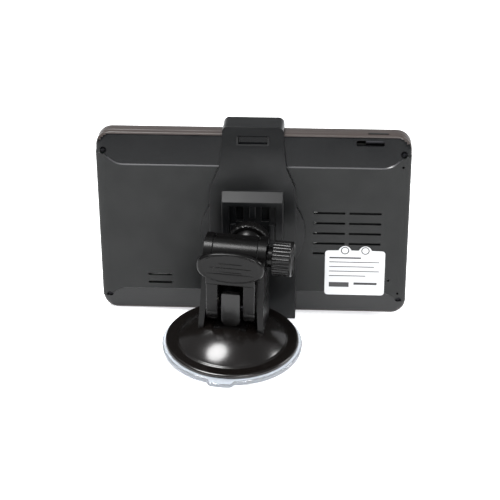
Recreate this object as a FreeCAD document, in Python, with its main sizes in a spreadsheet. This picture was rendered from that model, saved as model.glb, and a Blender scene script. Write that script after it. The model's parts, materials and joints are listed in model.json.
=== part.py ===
"""Portable navigator in a clip-on cradle, on a ball-jointed suction-cup arm.

Millimetres.  Two frames are used.  The mount frame is the model's own: its origin is the
centre of the suction pad's underside, +Z is the pad's axis and -Y is the side the lever
opens to.  The head frame starts at the centre of the ball and is turned as the ball is set:
its x is the device's width, its y the depth from the ball to the screen and its z is up.
"""
import FreeCAD, Part
import Sketcher
import os
import re

doc = FreeCAD.newDocument("Navigator")
sheet = doc.addObject("Spreadsheet::Sheet", "Sizes")

SIZES = {
    # navigator body
    "device_wide": 185, "device_tall": 117, "side_deep": 12, "lip_deep": 3.7, "band_rise": 4, "corner_round": 9,
    "case_wall": 1.8, "crease_up": 39.2, "crease_down": 42.5,
    "view_wide": 157, "view_tall": 90, "panel_margin": 4, "panel_thick": 1.2, "front_wall": 2.2,
    "gasket_thick": 0.5, "lcd_thick": 3.5, "tray_thick": 0.5, "board_thick": 1.0,
    "board_gap": 2.0, "screw_in_x": 4.5, "screw_in_z": 10.8, "screw_shaft": 0.9, "screw_head": 1.7, "head_deep": 3.4,
    "port_y": 6.0,
    "battery_wide": 50, "battery_tall": 40, "battery_thick": 2.8, "speaker_wide": 44,
    "speaker_tall": 30, "speaker_thick": 2.8, "antenna_side": 18, "antenna_thick": 2.0,
    "card_wide": 11, "card_long": 15, "card_thick": 0.8, "card_x": 72.8, "card_proud": 0.6,
    "button_long": 8, "button_wide": 2.6, "button_proud": 0.9, "button_z": 38, "usb_z": 20,
    "usb_wide": 7.6, "usb_tall": 3.0, "phone_z": 4, "phone_bore": 1.8, "label_wide": 36,
    "label_tall": 28.4, "label_x": 61.2, "label_z": -30.2, "label_thick": 0.15,
    "slot_pitch": 6.7, "slot_tall": 1.4, "slot_long": 19, "slot_x": 45.2, "slot_step": 21.4,
    "slot_z": 10.2, "vent_x": -56.6, "vent_long": 14.4, "vent_z": -33, "vent_pitch": 5.4,
    # where the ball and the barrel are, and how the ball is set
    "ball_x": 4.5, "ball_y": 32, "ball_z": 51.5, "turn_deg": 5.7, "lean_deg": 3.8, "roll_deg": 1.1,
    "edge_y": 21.2, "device_x": 1.5, "device_lift": 1.4,
    # cradle and claw plate
    "strap_wide": 51.4, "strap_thick": 2.5, "strap_gap": 0.1, "hook_thick": 1.8, "tab_thick": 4.6,
    "tab_round": 3.6, "hook_lip": 4.0,
    "hook_gap": 0.3, "neck_wide": 35.6, "disc_radius": 31, "disc_z": -2.5, "frame_wide": 36,
    "frame_high": 24.8, "frame_low": 12, "frame_proud": 5.8, "frame_slope": 4.8, "rail_thick": 2.4,
    "rail_lip": 1.9, "plate_gap": 0.2, "claw_thick": 3.3, "claw_window": 4.6, "claw_rib": 1.7,
    # ball joint
    "ball_radius": 6.4, "race_wall": 1.6, "fit_gap": 0.06, "stem_radius": 3.0, "housing_wall": 1.8,
    "collar_outer": 12.4, "collar_high": 6.4,
    # arm, bolt and knob
    "barrel_y": 14, "barrel_z": 53.5, "ear_radius": 10.5, "ear_thick": 4.7, "fork_inside": 26.6,
    "knuckle_radius": 10, "washer_thick": 0.5, "bolt_radius": 2.6, "knob_radius": 10.2,
    "knob_long": 11.6, "spacer_long": 3.4, "nut_radius": 4.6, "nut_thick": 3.2, "base_flare": 1.2,
    "arm_base": 2.0, "arm_foot_front": 6, "arm_foot_rear": 18, "web_thick": 3.2, "web_high": 20,
    "foot_half": 9.4, "foot_front": 8.6, "neck_deep": 6.5,
    # cup, pad and lever
    "pad_radius": 41, "pad_thick": 3.1, "vacuum_deep": 2.0, "tab_wide": 13, "tab_reach": 43.8,
    "flange_radius": 39, "flange_low": 3.2, "flange_thick": 2.4, "dome_ball": 49,
    "dome_apex": 17.5, "dome_wall": 2.2, "rod_radius": 2.8,
    "rod_travel": 2.2, "rod_gap": 0.1, "lever_z": 26, "lever_wide": 28, "lever_leg": 6.8,
    "lever_front": 8, "heel_radius": 7.6, "paddle_wide": 38.6, "paddle_tall": 19.6,
    "paddle_thick": 4, "paddle_z": 57.6, "pin_radius": 1.5, "tongue_wide": 11.2, "tongue_high": 22,
}

for row, (alias, size) in enumerate(SIZES.items(), start=1):
    sheet.set(f"A{row}", alias)
    sheet.set(f"B{row}", str(size))
    sheet.setAlias(f"B{row}", alias)
doc.recompute()


def bind(text):
    """Turn the bare names of a formula into references to the sheet."""
    def swap(found):
        word = found.group(0)
        return "Sizes." + word if word in SIZES else word
    return re.sub(r"[a-z][a-z_0-9]*", swap, str(text))


def value(text):
    return float(sheet.evalExpression(bind(text)))


def head_place():
    spin = FreeCAD.Rotation(FreeCAD.Vector(0, 0, 1), value("turn_deg"))
    lean = FreeCAD.Rotation(FreeCAD.Vector(1, 0, 0), value("-lean_deg"))
    roll = FreeCAD.Rotation(FreeCAD.Vector(0, 1, 0), value("-roll_deg"))
    centre = FreeCAD.Vector(value("ball_x"), value("ball_y"), value("ball_z"))
    return FreeCAD.Placement(centre, spin.multiply(lean).multiply(roll))


TURNS = {"x": FreeCAD.Rotation(FreeCAD.Vector(0, 1, 0), 90),
         "y": FreeCAD.Rotation(FreeCAD.Vector(1, 0, 0), -90),
         "z": FreeCAD.Rotation()}
PLANES = {"xz": "XZ_Plane", "yz": "YZ_Plane", "xy": "XY_Plane"}


class Piece:
    """One sub-part: a PartDesign body whose features are bound to the sheet."""

    made = []

    def __init__(self, name, place):
        self.body = doc.addObject("PartDesign::Body", name)
        self.body.Label = name
        self.body.Placement = place
        self.count = 0
        Piece.made.append(self)

    def feature(self, kind):
        self.count += 1
        return self.body.newObject("PartDesign::" + kind, f"{self.body.Name}_{kind}_{self.count}")

    def set(self, thing, **formulas):
        for name, formula in formulas.items():
            thing.setExpression(name, bind(formula))
        return thing

    def put(self, thing, x, y, z, axis="z"):
        thing.Placement = FreeCAD.Placement(FreeCAD.Vector(), TURNS[axis])
        for letter, formula in zip("xyz", (x, y, z)):
            thing.setExpression("Placement.Base." + letter, bind(formula))
        return thing

    def block(self, x, y, z, cut=False):
        """A box between the (low, high) formulas of each axis."""
        box = self.feature("SubtractiveBox" if cut else "AdditiveBox")
        self.set(box, Length=f"({x[1]})-({x[0]})", Width=f"({y[1]})-({y[0]})",
                 Height=f"({z[1]})-({z[0]})")
        return self.put(box, x[0], y[0], z[0])

    def rod(self, axis, at, radius, length, cut=False):
        """A cylinder that starts at a point and runs along an axis."""
        rod = self.feature("SubtractiveCylinder" if cut else "AdditiveCylinder")
        self.set(rod, Radius=radius, Height=length)
        return self.put(rod, *at, axis=axis)

    def globe(self, at, radius, cut=False):
        globe = self.feature("SubtractiveSphere" if cut else "AdditiveSphere")
        self.set(globe, Radius=radius)
        return self.put(globe, *at)

    def prism(self, axis, at, radius, length, sides=6, cut=False):
        prism = self.feature("SubtractivePrism" if cut else "AdditivePrism")
        prism.Polygon = sides
        self.set(prism, Circumradius=radius, Height=length)
        return self.put(prism, *at, axis=axis)

    def sketch(self, plane, corners, offset="0"):
        """A closed outline through corners whose two coordinates are formulas."""
        self.count += 1
        sketch = self.body.newObject("Sketcher::SketchObject", f"{self.body.Name}_outline_{self.count}")
        origin = [item for item in self.body.Origin.OriginFeatures if item.Role == PLANES[plane]][0]
        sketch.AttachmentSupport = (origin, [""])
        sketch.MapMode = "FlatFace"
        sketch.setExpression("AttachmentOffset.Base.z", bind(offset))
        points = [FreeCAD.Vector(value(a), value(b), 0) for a, b in corners]
        for index, point in enumerate(points):
            sketch.addGeometry(Part.LineSegment(point, points[(index + 1) % len(points)]), False)
        for index, (a, b) in enumerate(corners):
            after = (index + 1) % len(corners)
            sketch.addConstraint(Sketcher.Constraint("Coincident", index, 2, after, 1))
            for kind, formula, size in (("DistanceX", a, points[index].x),
                                        ("DistanceY", b, points[index].y)):
                number = sketch.addConstraint(Sketcher.Constraint(kind, -1, 1, index, 1, size))
                sketch.setExpression(f"Constraints[{number}]", bind(formula))
        return sketch

    def slab(self, plane, corners, length, offset="0", cut=False, middle=False):
        """A sketch drawn out square to its plane; middle draws it to both sides."""
        sketch = self.sketch(plane, corners, offset)
        slab = self.feature("Pocket" if cut else "Pad")
        slab.Profile = sketch
        slab.Midplane = middle
        self.set(slab, Length=length)
        return slab

    def turned(self, corners):
        """A half section, radius and height, turned about the vertical axis."""
        sketch = self.sketch("xz", corners)
        turned = self.feature("Revolution")
        turned.Profile = sketch
        turned.ReferenceAxis = (sketch, ["V_Axis"])
        turned.Angle = 360
        return turned

    def soften(self, kind, size, chosen):
        """A fillet or chamfer on the edges of the body so far that the test picks."""
        doc.recompute()
        base = self.body.Tip
        names = [f"Edge{index}" for index, edge in enumerate(base.Shape.Edges, start=1) if chosen(edge)]
        if not names:
            raise ValueError("no edge picked on " + self.body.Label)
        edge_work = self.feature(kind)
        edge_work.Base = (base, names)
        self.set(edge_work, **{"Radius" if kind == "Fillet" else "Size": size})
        return edge_work


def along(axis, *tests):
    """Pick straight edges that run along an axis and meet every test on their middle."""
    def chosen(edge):
        if edge.Curve.TypeId != "Part::GeomLine":
            return False
        way = edge.tangentAt(edge.FirstParameter)
        if abs(abs(getattr(way, axis)) - 1) > 1e-4:
            return False
        return all(test(edge.CenterOfMass) for test in tests)
    return chosen


HEAD = head_place()
MOUNT = FreeCAD.Placement()

# Places in the head frame that several pieces share.
MID_Z = "device_lift"
SEAM = "(edge_y+lip_deep)"
BACK = "(edge_y-band_rise)"
FRONT = "(edge_y+side_deep)"
HALF_W = "(device_wide/2)"
HALF_T = "(device_tall/2)"
LEFT_SIDE = f"(device_x-{HALF_W})"
PORT_Y = "(edge_y+port_y)"
CARD_Y = "(edge_y+2.7)"
HEAD_SEAT = f"({BACK}+head_deep)"
NOTCH = "(corner_round*0.55)"
PANEL_Y = f"({FRONT}-front_wall-panel_thick)"
GASKET_Y = f"({PANEL_Y}-gasket_thick)"
LCD_Y = f"({GASKET_Y}-lcd_thick)"
TRAY_Y = f"({LCD_Y}-tray_thick)"
BOARD_Y = f"({TRAY_Y}-board_gap-board_thick)"
PANEL_X = "(view_wide/2+panel_margin)"
PANEL_Z = "(view_tall/2+panel_margin)"
STRAP_Y = f"({BACK}-strap_gap)"
STRAP_FRONT = f"({STRAP_Y}-strap_thick)"
FRAME_Y = f"({STRAP_FRONT}-frame_proud)"
CLAW_BACK = f"({STRAP_FRONT}-plate_gap)"
CLAW_FRONT = f"({CLAW_BACK}-claw_thick)"


def dx(formula):
    """A device x, from the middle of the device, as a head-frame x."""
    return f"(device_x+({formula}))"


def dz(formula):
    return f"({MID_Z}+({formula}))"


def across(half):
    return dx(f"-({half})"), dx(half)


def updown(half):
    return dz(f"-({half})"), dz(half)


SCREW_PLACES = [(f"{a}*({HALF_W}-screw_in_x)", f"{b}*({HALF_T}-screw_in_z)")
                for a in (-1, 1) for b in (-1, 1)]


# ---------------------------------------------------------------- navigator casing
def make_front_bezel():
    bezel = Piece("front_bezel", HEAD)
    bezel.block(across(HALF_W), (SEAM, FRONT), updown(HALF_T))
    bezel.soften("Fillet", "corner_round", along("y"))
    room = (SEAM, f"{FRONT}-front_wall")
    bezel.block(across(f"{HALF_W}-case_wall"), room, updown(f"{HALF_T}-case_wall-{NOTCH}"), cut=True)
    bezel.block(across(f"{HALF_W}-case_wall-{NOTCH}"), room, updown(f"{HALF_T}-case_wall"), cut=True)
    bezel.block(across("view_wide/2"), (f"{FRONT}-front_wall-1", f"{FRONT}+1"),
                updown("view_tall/2"), cut=True)
    for x, z in SCREW_PLACES:
        bezel.rod("y", (dx(x), SEAM, dz(z)), "screw_shaft+2.1", f"{FRONT}-front_wall-{SEAM}")
        bezel.rod("y", (dx(x), f"{SEAM}-1", dz(z)), "screw_shaft+0.03", "6.5", cut=True)
    wall = (f"{LEFT_SIDE}-1", f"{LEFT_SIDE}+case_wall+1")
    bezel.block(wall, (f"{PORT_Y}-usb_tall/2-0.3", f"{PORT_Y}+usb_tall/2+0.3"),
                (dz("usb_z-usb_wide/2-0.3"), dz("usb_z+usb_wide/2+0.3")), cut=True)
    bezel.block(wall, (f"{PORT_Y}-button_wide/2-0.15", f"{PORT_Y}+button_wide/2+0.15"),
                (dz("button_z-button_long/2-0.15"), dz("button_z+button_long/2+0.15")), cut=True)
    bezel.rod("x", (f"{LEFT_SIDE}-1", f"{PORT_Y}+0.8", dz("phone_z")), "phone_bore+0.7",
              "case_wall+2", cut=True)


def shell_profile(inset, lowered="0"):
    """Side view of the back shell: a lip, then bands that slope up to the flat back."""
    top = f"device_tall/2-{inset}-{lowered}"
    crease = f"{BACK}+{inset}"
    return [(SEAM, dz(top)), (f"edge_y+{inset}", dz(top)), (crease, dz("crease_up")),
            (crease, dz("-crease_down")), (f"edge_y+{inset}", dz(f"-({top})")),
            (SEAM, dz(f"-({top})"))]


def make_back_shell():
    shell = Piece("back_shell", HEAD)
    shell.slab("yz", shell_profile("0"), "device_wide", "device_x", middle=True)
    shell.soften("Fillet", "corner_round", along(
        "y", lambda at: abs(abs(at.z - value("device_lift")) - value("device_tall/2")) < 0.1))
    inset = "case_wall*0.72"
    shell.slab("yz", shell_profile(inset, NOTCH), "device_wide-case_wall*2", "device_x",
               cut=True, middle=True)
    shell.slab("yz", shell_profile(inset), f"device_wide-(case_wall+{NOTCH})*2", "device_x",
               cut=True, middle=True)
    for x, z in SCREW_PLACES:
        shell.rod("y", (dx(x), f"{BACK}+2.5", dz(z)), "screw_head+1.3", f"{SEAM}-{BACK}-2.5")
        shell.rod("y", (dx(x), f"{BACK}-1", dz(z)), "screw_shaft+0.15", "20", cut=True)
        shell.rod("y", (dx(x), f"{BACK}-1", dz(z)), "screw_head+0.15", "1+head_deep", cut=True)
    for row in range(5):
        for column in range(2):
            middle_x = f"slot_x+{column}*slot_step"
            middle_z = f"slot_z-{row}*slot_pitch"
            shell.block((dx(f"{middle_x}-slot_long/2"), dx(f"{middle_x}+slot_long/2")),
                        (f"{BACK}-1", f"{BACK}+3.2"),
                        (dz(f"{middle_z}-slot_tall/2"), dz(f"{middle_z}+slot_tall/2")), cut=True)
    for row in range(2):
        middle_z = f"vent_z-{row}*vent_pitch"
        shell.block((dx("vent_x-vent_long/2"), dx("vent_x+vent_long/2")), (f"{BACK}-1", f"{BACK}+3.2"),
                    (dz(f"{middle_z}-slot_tall/2"), dz(f"{middle_z}+slot_tall/2")), cut=True)
    shell.block((dx("card_x-18"), dx("card_x+9")), (f"{BACK}-1", "edge_y-0.4"),
                (dz(f"{HALF_T}-6.6"), dz(f"{HALF_T}-1.6")), cut=True)
    shell.block((dx("card_x-card_wide/2-0.9"), dx("card_x+card_wide/2+0.9")),
                (f"{CARD_Y}-card_thick/2-0.3", f"{CARD_Y}+card_thick/2+0.3"),
                (dz(f"{HALF_T}-6"), dz(f"{HALF_T}+1")), cut=True)


def make_screen_stack():
    panel = Piece("touch_panel", HEAD)
    panel.block(across(PANEL_X), (PANEL_Y, f"{PANEL_Y}+panel_thick"), updown(PANEL_Z))
    gasket = Piece("panel_gasket", HEAD)
    gasket.block(across(PANEL_X), (GASKET_Y, f"{GASKET_Y}+gasket_thick"), updown(PANEL_Z))
    gasket.block(across("view_wide/2+0.8"), (f"{GASKET_Y}-1", f"{GASKET_Y}+gasket_thick+1"),
                 updown("view_tall/2+0.8"), cut=True)
    lcd = Piece("lcd_module", HEAD)
    lcd.block(across(f"{PANEL_X}-0.5"), (LCD_Y, f"{LCD_Y}+lcd_thick"), updown(f"{PANEL_Z}+1"))
    tray = Piece("lcd_tray", HEAD)
    tray.block(across(f"{PANEL_X}+0.6"), (TRAY_Y, f"{TRAY_Y}+tray_thick"), updown(f"{PANEL_Z}+3"))
    for side in (-1, 1):
        wall = sorted((f"{side}*({PANEL_X}-0.3)", f"{side}*({PANEL_X}+0.6)"), key=value)
        tray.block((dx(wall[0]), dx(wall[1])), (TRAY_Y, f"{LCD_Y}+2"), updown(PANEL_Z))


def make_electronics():
    board = Piece("main_board", HEAD)
    board_y = (BOARD_Y, f"{BOARD_Y}+board_thick")
    board.block((dx("-30"), dx("36")), board_y, (dz("-44"), dz(f"{HALF_T}-11")))
    board.block((dx("30"), dx("84")), board_y, (dz("24"), dz(f"{HALF_T}-11")))
    can = Piece("shield_can", HEAD)
    can.block((dx("-14"), dx("16")), (f"{BOARD_Y}-1.6", BOARD_Y), (dz("-18"), dz("12")))
    can.soften("Fillet", "0.8", along("y"))
    chips = Piece("board_chips", HEAD)
    for low_x, low_z, wide, tall in ((-26, 16, 12, 12), (-8, 18, 10, 14), (18, -34, 9, 9), (-24, -38, 14, 6)):
        chips.block((dx(low_x), dx(low_x + wide)), (f"{BOARD_Y}-1.1", BOARD_Y),
                    (dz(low_z), dz(low_z + tall)))
    antenna = Piece("gps_antenna", HEAD)
    antenna.block((dx("-60"), dx("-60+antenna_side")), (f"{BACK}+2.0", f"{BACK}+2.0+antenna_thick"),
                  (dz("20"), dz("20+antenna_side")))
    battery = Piece("battery", HEAD)
    battery.block((dx("-84"), dx("-84+battery_wide")), (f"{BACK}+1.9", f"{BACK}+1.9+battery_thick"),
                  (dz("-28"), dz("-28+battery_tall")))
    battery.soften("Fillet", "1.2", along("z"))
    speaker = Piece("speaker", HEAD)
    speaker.block((dx("38"), dx("38+speaker_wide")), (f"{BACK}+1.85", f"{BACK}+1.85+speaker_thick"),
                  (dz("-18"), dz("-18+speaker_tall")))
    speaker.soften("Fillet", "5", along("y"))
    for end in (0.26, 0.74):
        speaker.rod("y", (dx(f"38+speaker_wide*{end}"), f"{BACK}+1", dz("-18+speaker_tall/2")),
                    "9", "1.6", cut=True)
    flex = Piece("display_flex", HEAD)
    flex.block((dx("-12"), dx("12")), (f"{BOARD_Y}+board_thick", TRAY_Y), (dz("-40"), dz("-39.7")))
    flex.block((dx("-12"), dx("12")), (f"{TRAY_Y}-0.3", TRAY_Y), (dz("-48"), dz("-40")))
    side = Piece("side_board", HEAD)
    side.block((f"{LEFT_SIDE}+2.1", f"{LEFT_SIDE}+9.2"), (f"{PORT_Y}-2.5", f"{PORT_Y}-1.5"),
               (dz("phone_z-5"), dz("button_z+6")))
    cable = Piece("side_cable", HEAD)
    cable.block((f"{LEFT_SIDE}+6", dx("-27")), (f"{PORT_Y}-2.8", f"{PORT_Y}-2.5"), (dz("12"), dz("18")))
    cable.block((dx("-29"), dx("-25")), (f"{BOARD_Y}+board_thick", f"{PORT_Y}-2.5"), (dz("11"), dz("19")))


def make_sockets():
    socket = Piece("card_socket", HEAD)
    socket.block((dx("card_x-card_wide/2-1.6"), dx("card_x+card_wide/2+1.6")),
                 (f"{BOARD_Y}+board_thick", f"{CARD_Y}+card_thick/2+0.9"),
                 (dz(f"{HALF_T}-22"), dz(f"{HALF_T}-2.4")))
    socket.block((dx("card_x-card_wide/2-0.2"), dx("card_x+card_wide/2+0.2")),
                 (f"{CARD_Y}-card_thick/2-0.1", f"{CARD_Y}+card_thick/2+0.1"),
                 (dz(f"{HALF_T}-16.5"), dz(f"{HALF_T}-1")), cut=True)
    card = Piece("memory_card", HEAD)
    card.block((dx("card_x-card_wide/2"), dx("card_x+card_wide/2")),
               (f"{CARD_Y}-card_thick/2", f"{CARD_Y}+card_thick/2"),
               (dz(f"{HALF_T}+card_proud-card_long"), dz(f"{HALF_T}+card_proud")))
    usb = Piece("usb_socket", HEAD)
    usb.block((f"{LEFT_SIDE}+0.5", f"{LEFT_SIDE}+9.2"), (f"{PORT_Y}-usb_tall/2", f"{PORT_Y}+usb_tall/2"),
              (dz("usb_z-usb_wide/2"), dz("usb_z+usb_wide/2")))
    usb.block((f"{LEFT_SIDE}-1", f"{LEFT_SIDE}+7"), (f"{PORT_Y}-usb_tall/2+0.4", f"{PORT_Y}+usb_tall/2-0.4"),
              (dz("usb_z-usb_wide/2+0.4"), dz("usb_z+usb_wide/2-0.4")), cut=True)
    usb.block((f"{LEFT_SIDE}+1.2", f"{LEFT_SIDE}+7.5"), (f"{PORT_Y}-0.35", f"{PORT_Y}+0.35"),
              (dz("usb_z-2.2"), dz("usb_z+2.2")))
    phone = Piece("earphone_socket", HEAD)
    phone.block((f"{LEFT_SIDE}+case_wall+0.2", f"{LEFT_SIDE}+9.2"), (f"{PORT_Y}-1.5", f"{PORT_Y}+3.1"),
                (dz("phone_z-3.2"), dz("phone_z+3.2")))
    phone.rod("x", (f"{LEFT_SIDE}+0.4", f"{PORT_Y}+0.8", dz("phone_z")), "phone_bore+0.5", "6")
    phone.rod("x", (f"{LEFT_SIDE}-1", f"{PORT_Y}+0.8", dz("phone_z")), "phone_bore", "9.5", cut=True)
    button = Piece("power_button", HEAD)
    button.block((f"{LEFT_SIDE}-button_proud", f"{LEFT_SIDE}+case_wall+0.1"),
                 (f"{PORT_Y}-button_wide/2", f"{PORT_Y}+button_wide/2"),
                 (dz("button_z-button_long/2"), dz("button_z+button_long/2")))
    button.soften("Fillet", "0.9", along("x"))
    # the flange rests against the inside of the wall when the button is let go
    button.block((f"{LEFT_SIDE}+case_wall+0.02", f"{LEFT_SIDE}+case_wall+0.8"),
                 (f"{PORT_Y}-button_wide/2-0.2", f"{PORT_Y}+button_wide/2+0.4"),
                 (dz("button_z-button_long/2-0.8"), dz("button_z+button_long/2+0.8")))
    button.block((f"{LEFT_SIDE}+case_wall+0.5", f"{LEFT_SIDE}+4.6"), (f"{PORT_Y}-0.6", f"{PORT_Y}+0.6"),
                 (dz("button_z-0.8"), dz("button_z+0.8")))
    switch = Piece("power_switch", HEAD)
    switch.block((f"{LEFT_SIDE}+5.3", f"{LEFT_SIDE}+8.8"), (f"{PORT_Y}-1.5", f"{PORT_Y}+1.5"),
                 (dz("button_z-3"), dz("button_z+3")))


def make_case_trim():
    screws = Piece("case_screws", HEAD)
    for x, z in SCREW_PLACES:
        screws.rod("y", (dx(x), f"{HEAD_SEAT}-1.0", dz(z)), "screw_head", "1.0")
        screws.rod("y", (dx(x), f"{HEAD_SEAT}-0.2", dz(z)), "screw_shaft", "8")
    label = Piece("rating_label", HEAD)
    y_range = (f"{BACK}-label_thick", BACK)
    label.block((dx("label_x-label_wide/2"), dx("label_x+label_wide/2")), y_range,
                (dz("label_z-label_tall/2"), dz("label_z+label_tall/2")))
    label.soften("Fillet", "2.4", along("y"))
    for side in (-1, 1):
        label.rod("y", (dx(f"label_x+{side}*6.1-1.6"), y_range[0], dz("label_z+label_tall/2+0.6")),
                  "4.2", "label_thick")


# ---------------------------------------------------------------- cradle and claw plate
def make_cradle():
    cradle = Piece("cradle", HEAD)
    top = f"{HALF_T}+hook_gap"
    band_y = "edge_y"
    lip_in = f"{FRONT}+hook_gap"
    lip_out = f"{lip_in}+2.0"
    cradle.slab("yz", [
        (STRAP_FRONT, dz(f"-({top})-hook_thick")), (STRAP_FRONT, dz("crease_up")),
        (f"{band_y}-strap_thick", dz(f"{top}-1")), (f"{band_y}-strap_thick+1.2", dz(f"{top}+tab_thick")),
        (lip_out, dz(f"{top}+tab_thick")), (lip_out, dz(f"{HALF_T}-hook_lip")),
        (lip_in, dz(f"{HALF_T}-hook_lip")), (lip_in, dz(top)), (f"{band_y}-0.5", dz(top)),
        (STRAP_Y, dz("crease_up")), (STRAP_Y, dz(f"-({top})")), (lip_in, dz(f"-({top})")),
        (lip_in, dz(f"-({HALF_T}-hook_lip)")), (lip_out, dz(f"-({HALF_T}-hook_lip)")),
        (lip_out, dz(f"-({top})-hook_thick"))], "strap_wide", "device_x", middle=True)
    far = "strap_wide/2+5"
    for side in (-1, 1):
        cradle.slab("xz", [
            (dx(f"{side}*neck_wide/2"), dz(f"{top}+tab_thick+2")),
            (dx(f"{side}*(neck_wide/2+0.4)"), dz(f"{HALF_T}-6")),
            (dx(f"{side}*(neck_wide/2+2.1)"), dz("crease_up")),
            (dx(f"{side}*(strap_wide/2-0.8)"), dz("crease_up-12")),
            (dx(f"{side}*(strap_wide/2)"), dz("crease_up-22")),
            (dx(f"{side}*({far})"), dz("crease_up-22")),
            (dx(f"{side}*({far})"), dz(f"{top}+tab_thick+2"))], "120", "-60", cut=True, middle=True)
    cradle.soften("Fillet", "tab_round", along(
        "y", lambda at: abs(at.z - value(dz(f"{top}+tab_thick"))) < 0.05))
    cradle.rod("y", (dx("0"), f"{STRAP_FRONT}+0.5", dz("disc_z")), "disc_radius", "strap_thick-0.5")
    frame_top = dz("frame_high")
    cradle.slab("yz", [
        (f"{STRAP_FRONT}+0.3", frame_top), (STRAP_FRONT, frame_top), (FRAME_Y, dz("frame_high-frame_slope")),
        (FRAME_Y, dz("-frame_low")), (f"{STRAP_FRONT}+0.3", dz("-frame_low"))],
        "frame_wide", "device_x", middle=True)
    room = "frame_wide/2-rail_thick"
    cradle.block(across(room), (f"{FRAME_Y}+rail_lip", f"{STRAP_FRONT}"),
                 (dz("-frame_low-1"), dz("frame_high-frame_slope-1.2")), cut=True)
    cradle.block(across(f"{room}-rail_lip"), (f"{FRAME_Y}-1", f"{FRAME_Y}+rail_lip+1"),
                 (dz("-frame_low-1"), dz("frame_high-frame_slope-2.6")), cut=True)
    cradle.block(across("8.4"), (f"{STRAP_FRONT}-1", f"{band_y}+1"),
                 (dz(f"{HALF_T}-5.2"), dz(f"{HALF_T}-0.4")), cut=True)


def make_claw_plate():
    plate = Piece("claw_plate", HEAD)
    half = "(frame_wide/2-rail_thick-0.2)"
    top = dz("frame_high-frame_slope-1.4")
    low = dz("-frame_low-1.5")
    plate.block(across(half), (CLAW_FRONT, CLAW_BACK), (low, top))
    inner = f"({half}-rail_lip-0.3)"
    for side in (-1, 1):
        edge = sorted((f"{side}*5.2", f"{side}*(5.2+claw_window)"), key=value)
        plate.block((dx(edge[0]), dx(edge[1])), (f"{CLAW_FRONT}-1", f"{CLAW_BACK}+1"),
                    (dz("7"), dz("17")), cut=True)
        rib = sorted((f"{side}*({inner}-claw_rib*2)", f"{side}*{inner}"), key=value)
        plate.block((dx(rib[0]), dx(rib[1])), (f"{FRAME_Y}+0.4", f"{CLAW_FRONT}+0.1"),
                    (dz("-4.5"), dz("5.4")))
    plate.block(across("claw_rib"), (f"{FRAME_Y}+0.4", f"{CLAW_FRONT}+0.1"), (dz("9.6"), dz("17")))
    plate.rod("y", ("0", f"{CLAW_FRONT}-2.2", "0"), "stem_radius+2.6", "3")
    plate.rod("y", ("0", f"{CLAW_FRONT}-3", "0"), "stem_radius+fit_gap", "claw_thick+4", cut=True)
    plate.rod("y", ("0", f"{CLAW_BACK}-1.6", "0"), "stem_radius+2.2", "2", cut=True)
    catch = Piece("claw_catch", HEAD)
    catch.block(across("5.5"), (f"{CLAW_FRONT}+0.2", f"{CLAW_BACK}-0.6"), (dz("-frame_low-5.5"), low))
    catch.block(across("5.5"), (f"{FRAME_Y}-0.6", f"{CLAW_BACK}-0.6"),
                (dz("-frame_low-7"), dz("-frame_low-5")))
    catch.soften("Fillet", "0.8", along("y"))


# ---------------------------------------------------------------- ball joint
RACE_IN = "(ball_radius+fit_gap)"
RACE_OUT = "(ball_radius+race_wall)"
HOUSE_IN = f"({RACE_OUT}+fit_gap)"
HOUSE_OUT = f"({HOUSE_IN}+housing_wall)"


def make_ball_joint():
    ball = Piece("ball_stud", HEAD)
    ball.globe(("0", "0", "0"), "ball_radius")
    ball.rod("y", ("0", "ball_radius-2.0", "0"), "stem_radius", f"{CLAW_BACK}-0.3-ball_radius+2.0")
    retainer = Piece("stud_retainer", HEAD)
    retainer.rod("y", ("0", f"{CLAW_BACK}-1.5", "0"), "stem_radius+2.0", "1.3")
    retainer.rod("y", ("0", f"{CLAW_BACK}-2", "0"), "stem_radius+0.02", "3", cut=True)
    race = Piece("ball_race", HEAD)
    race.globe(("0", "0", "0"), RACE_OUT)
    race.globe(("0", "0", "0"), RACE_IN, cut=True)
    race.block(("-20", "20"), ("ball_radius*0.55", "20"), ("-20", "20"), cut=True)
    housing = Piece("neck", MOUNT)
    at = ("ball_x", "ball_y", "ball_z")
    housing.rod("x", ("-fork_inside/2+washer_thick+0.2", "barrel_y", "barrel_z"), "knuckle_radius",
                "fork_inside-washer_thick*2-0.4")
    housing.block(("-fork_inside/2+washer_thick+0.2", "fork_inside/2-washer_thick-0.2"),
                  ("barrel_y", "barrel_y+neck_deep"), ("barrel_z-6", "barrel_z+knuckle_radius-0.5"))
    housing.globe(at, HOUSE_OUT)
    housing.rod("y", ("ball_x", "barrel_y+4", "ball_z"), f"{HOUSE_OUT}*0.82", "ball_y-barrel_y-4")
    housing.globe(at, HOUSE_IN, cut=True)
    housing.block(("ball_x-20", "ball_x+20"), ("ball_y+ball_radius*0.45", "ball_y+30"),
                  ("ball_z-20", "ball_z+20"), cut=True)
    housing.rod("x", ("-20", "barrel_y", "barrel_z"), "bolt_radius+fit_gap", "40", cut=True)
    collar = Piece("clamp_collar", MOUNT)
    start = "ball_y+ball_radius*0.45+1.0-collar_high"
    collar.rod("y", ("ball_x", start, "ball_z"), "collar_outer", "collar_high")
    collar.soften("Chamfer", "0.8", lambda edge: edge.Length > 60)
    collar.rod("y", ("ball_x", f"{start}-1", "ball_z"), f"{HOUSE_OUT}+0.08", "collar_high+2", cut=True)
    for index in range(24):
        angle = 360 / 24 * index
        collar.rod("y", (f"ball_x+(collar_outer+0.4)*cos({angle})", f"{start}-1",
                         f"ball_z+(collar_outer+0.4)*sin({angle})"), "0.8", "collar_high+2", cut=True)


# ---------------------------------------------------------------- arm, bolt and knob
FORK_OUT = "(fork_inside/2+ear_thick)"
ARM_LOW = "(dome_apex-2)"
DOME_MIDDLE = "(dome_apex-dome_ball)"


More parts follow.
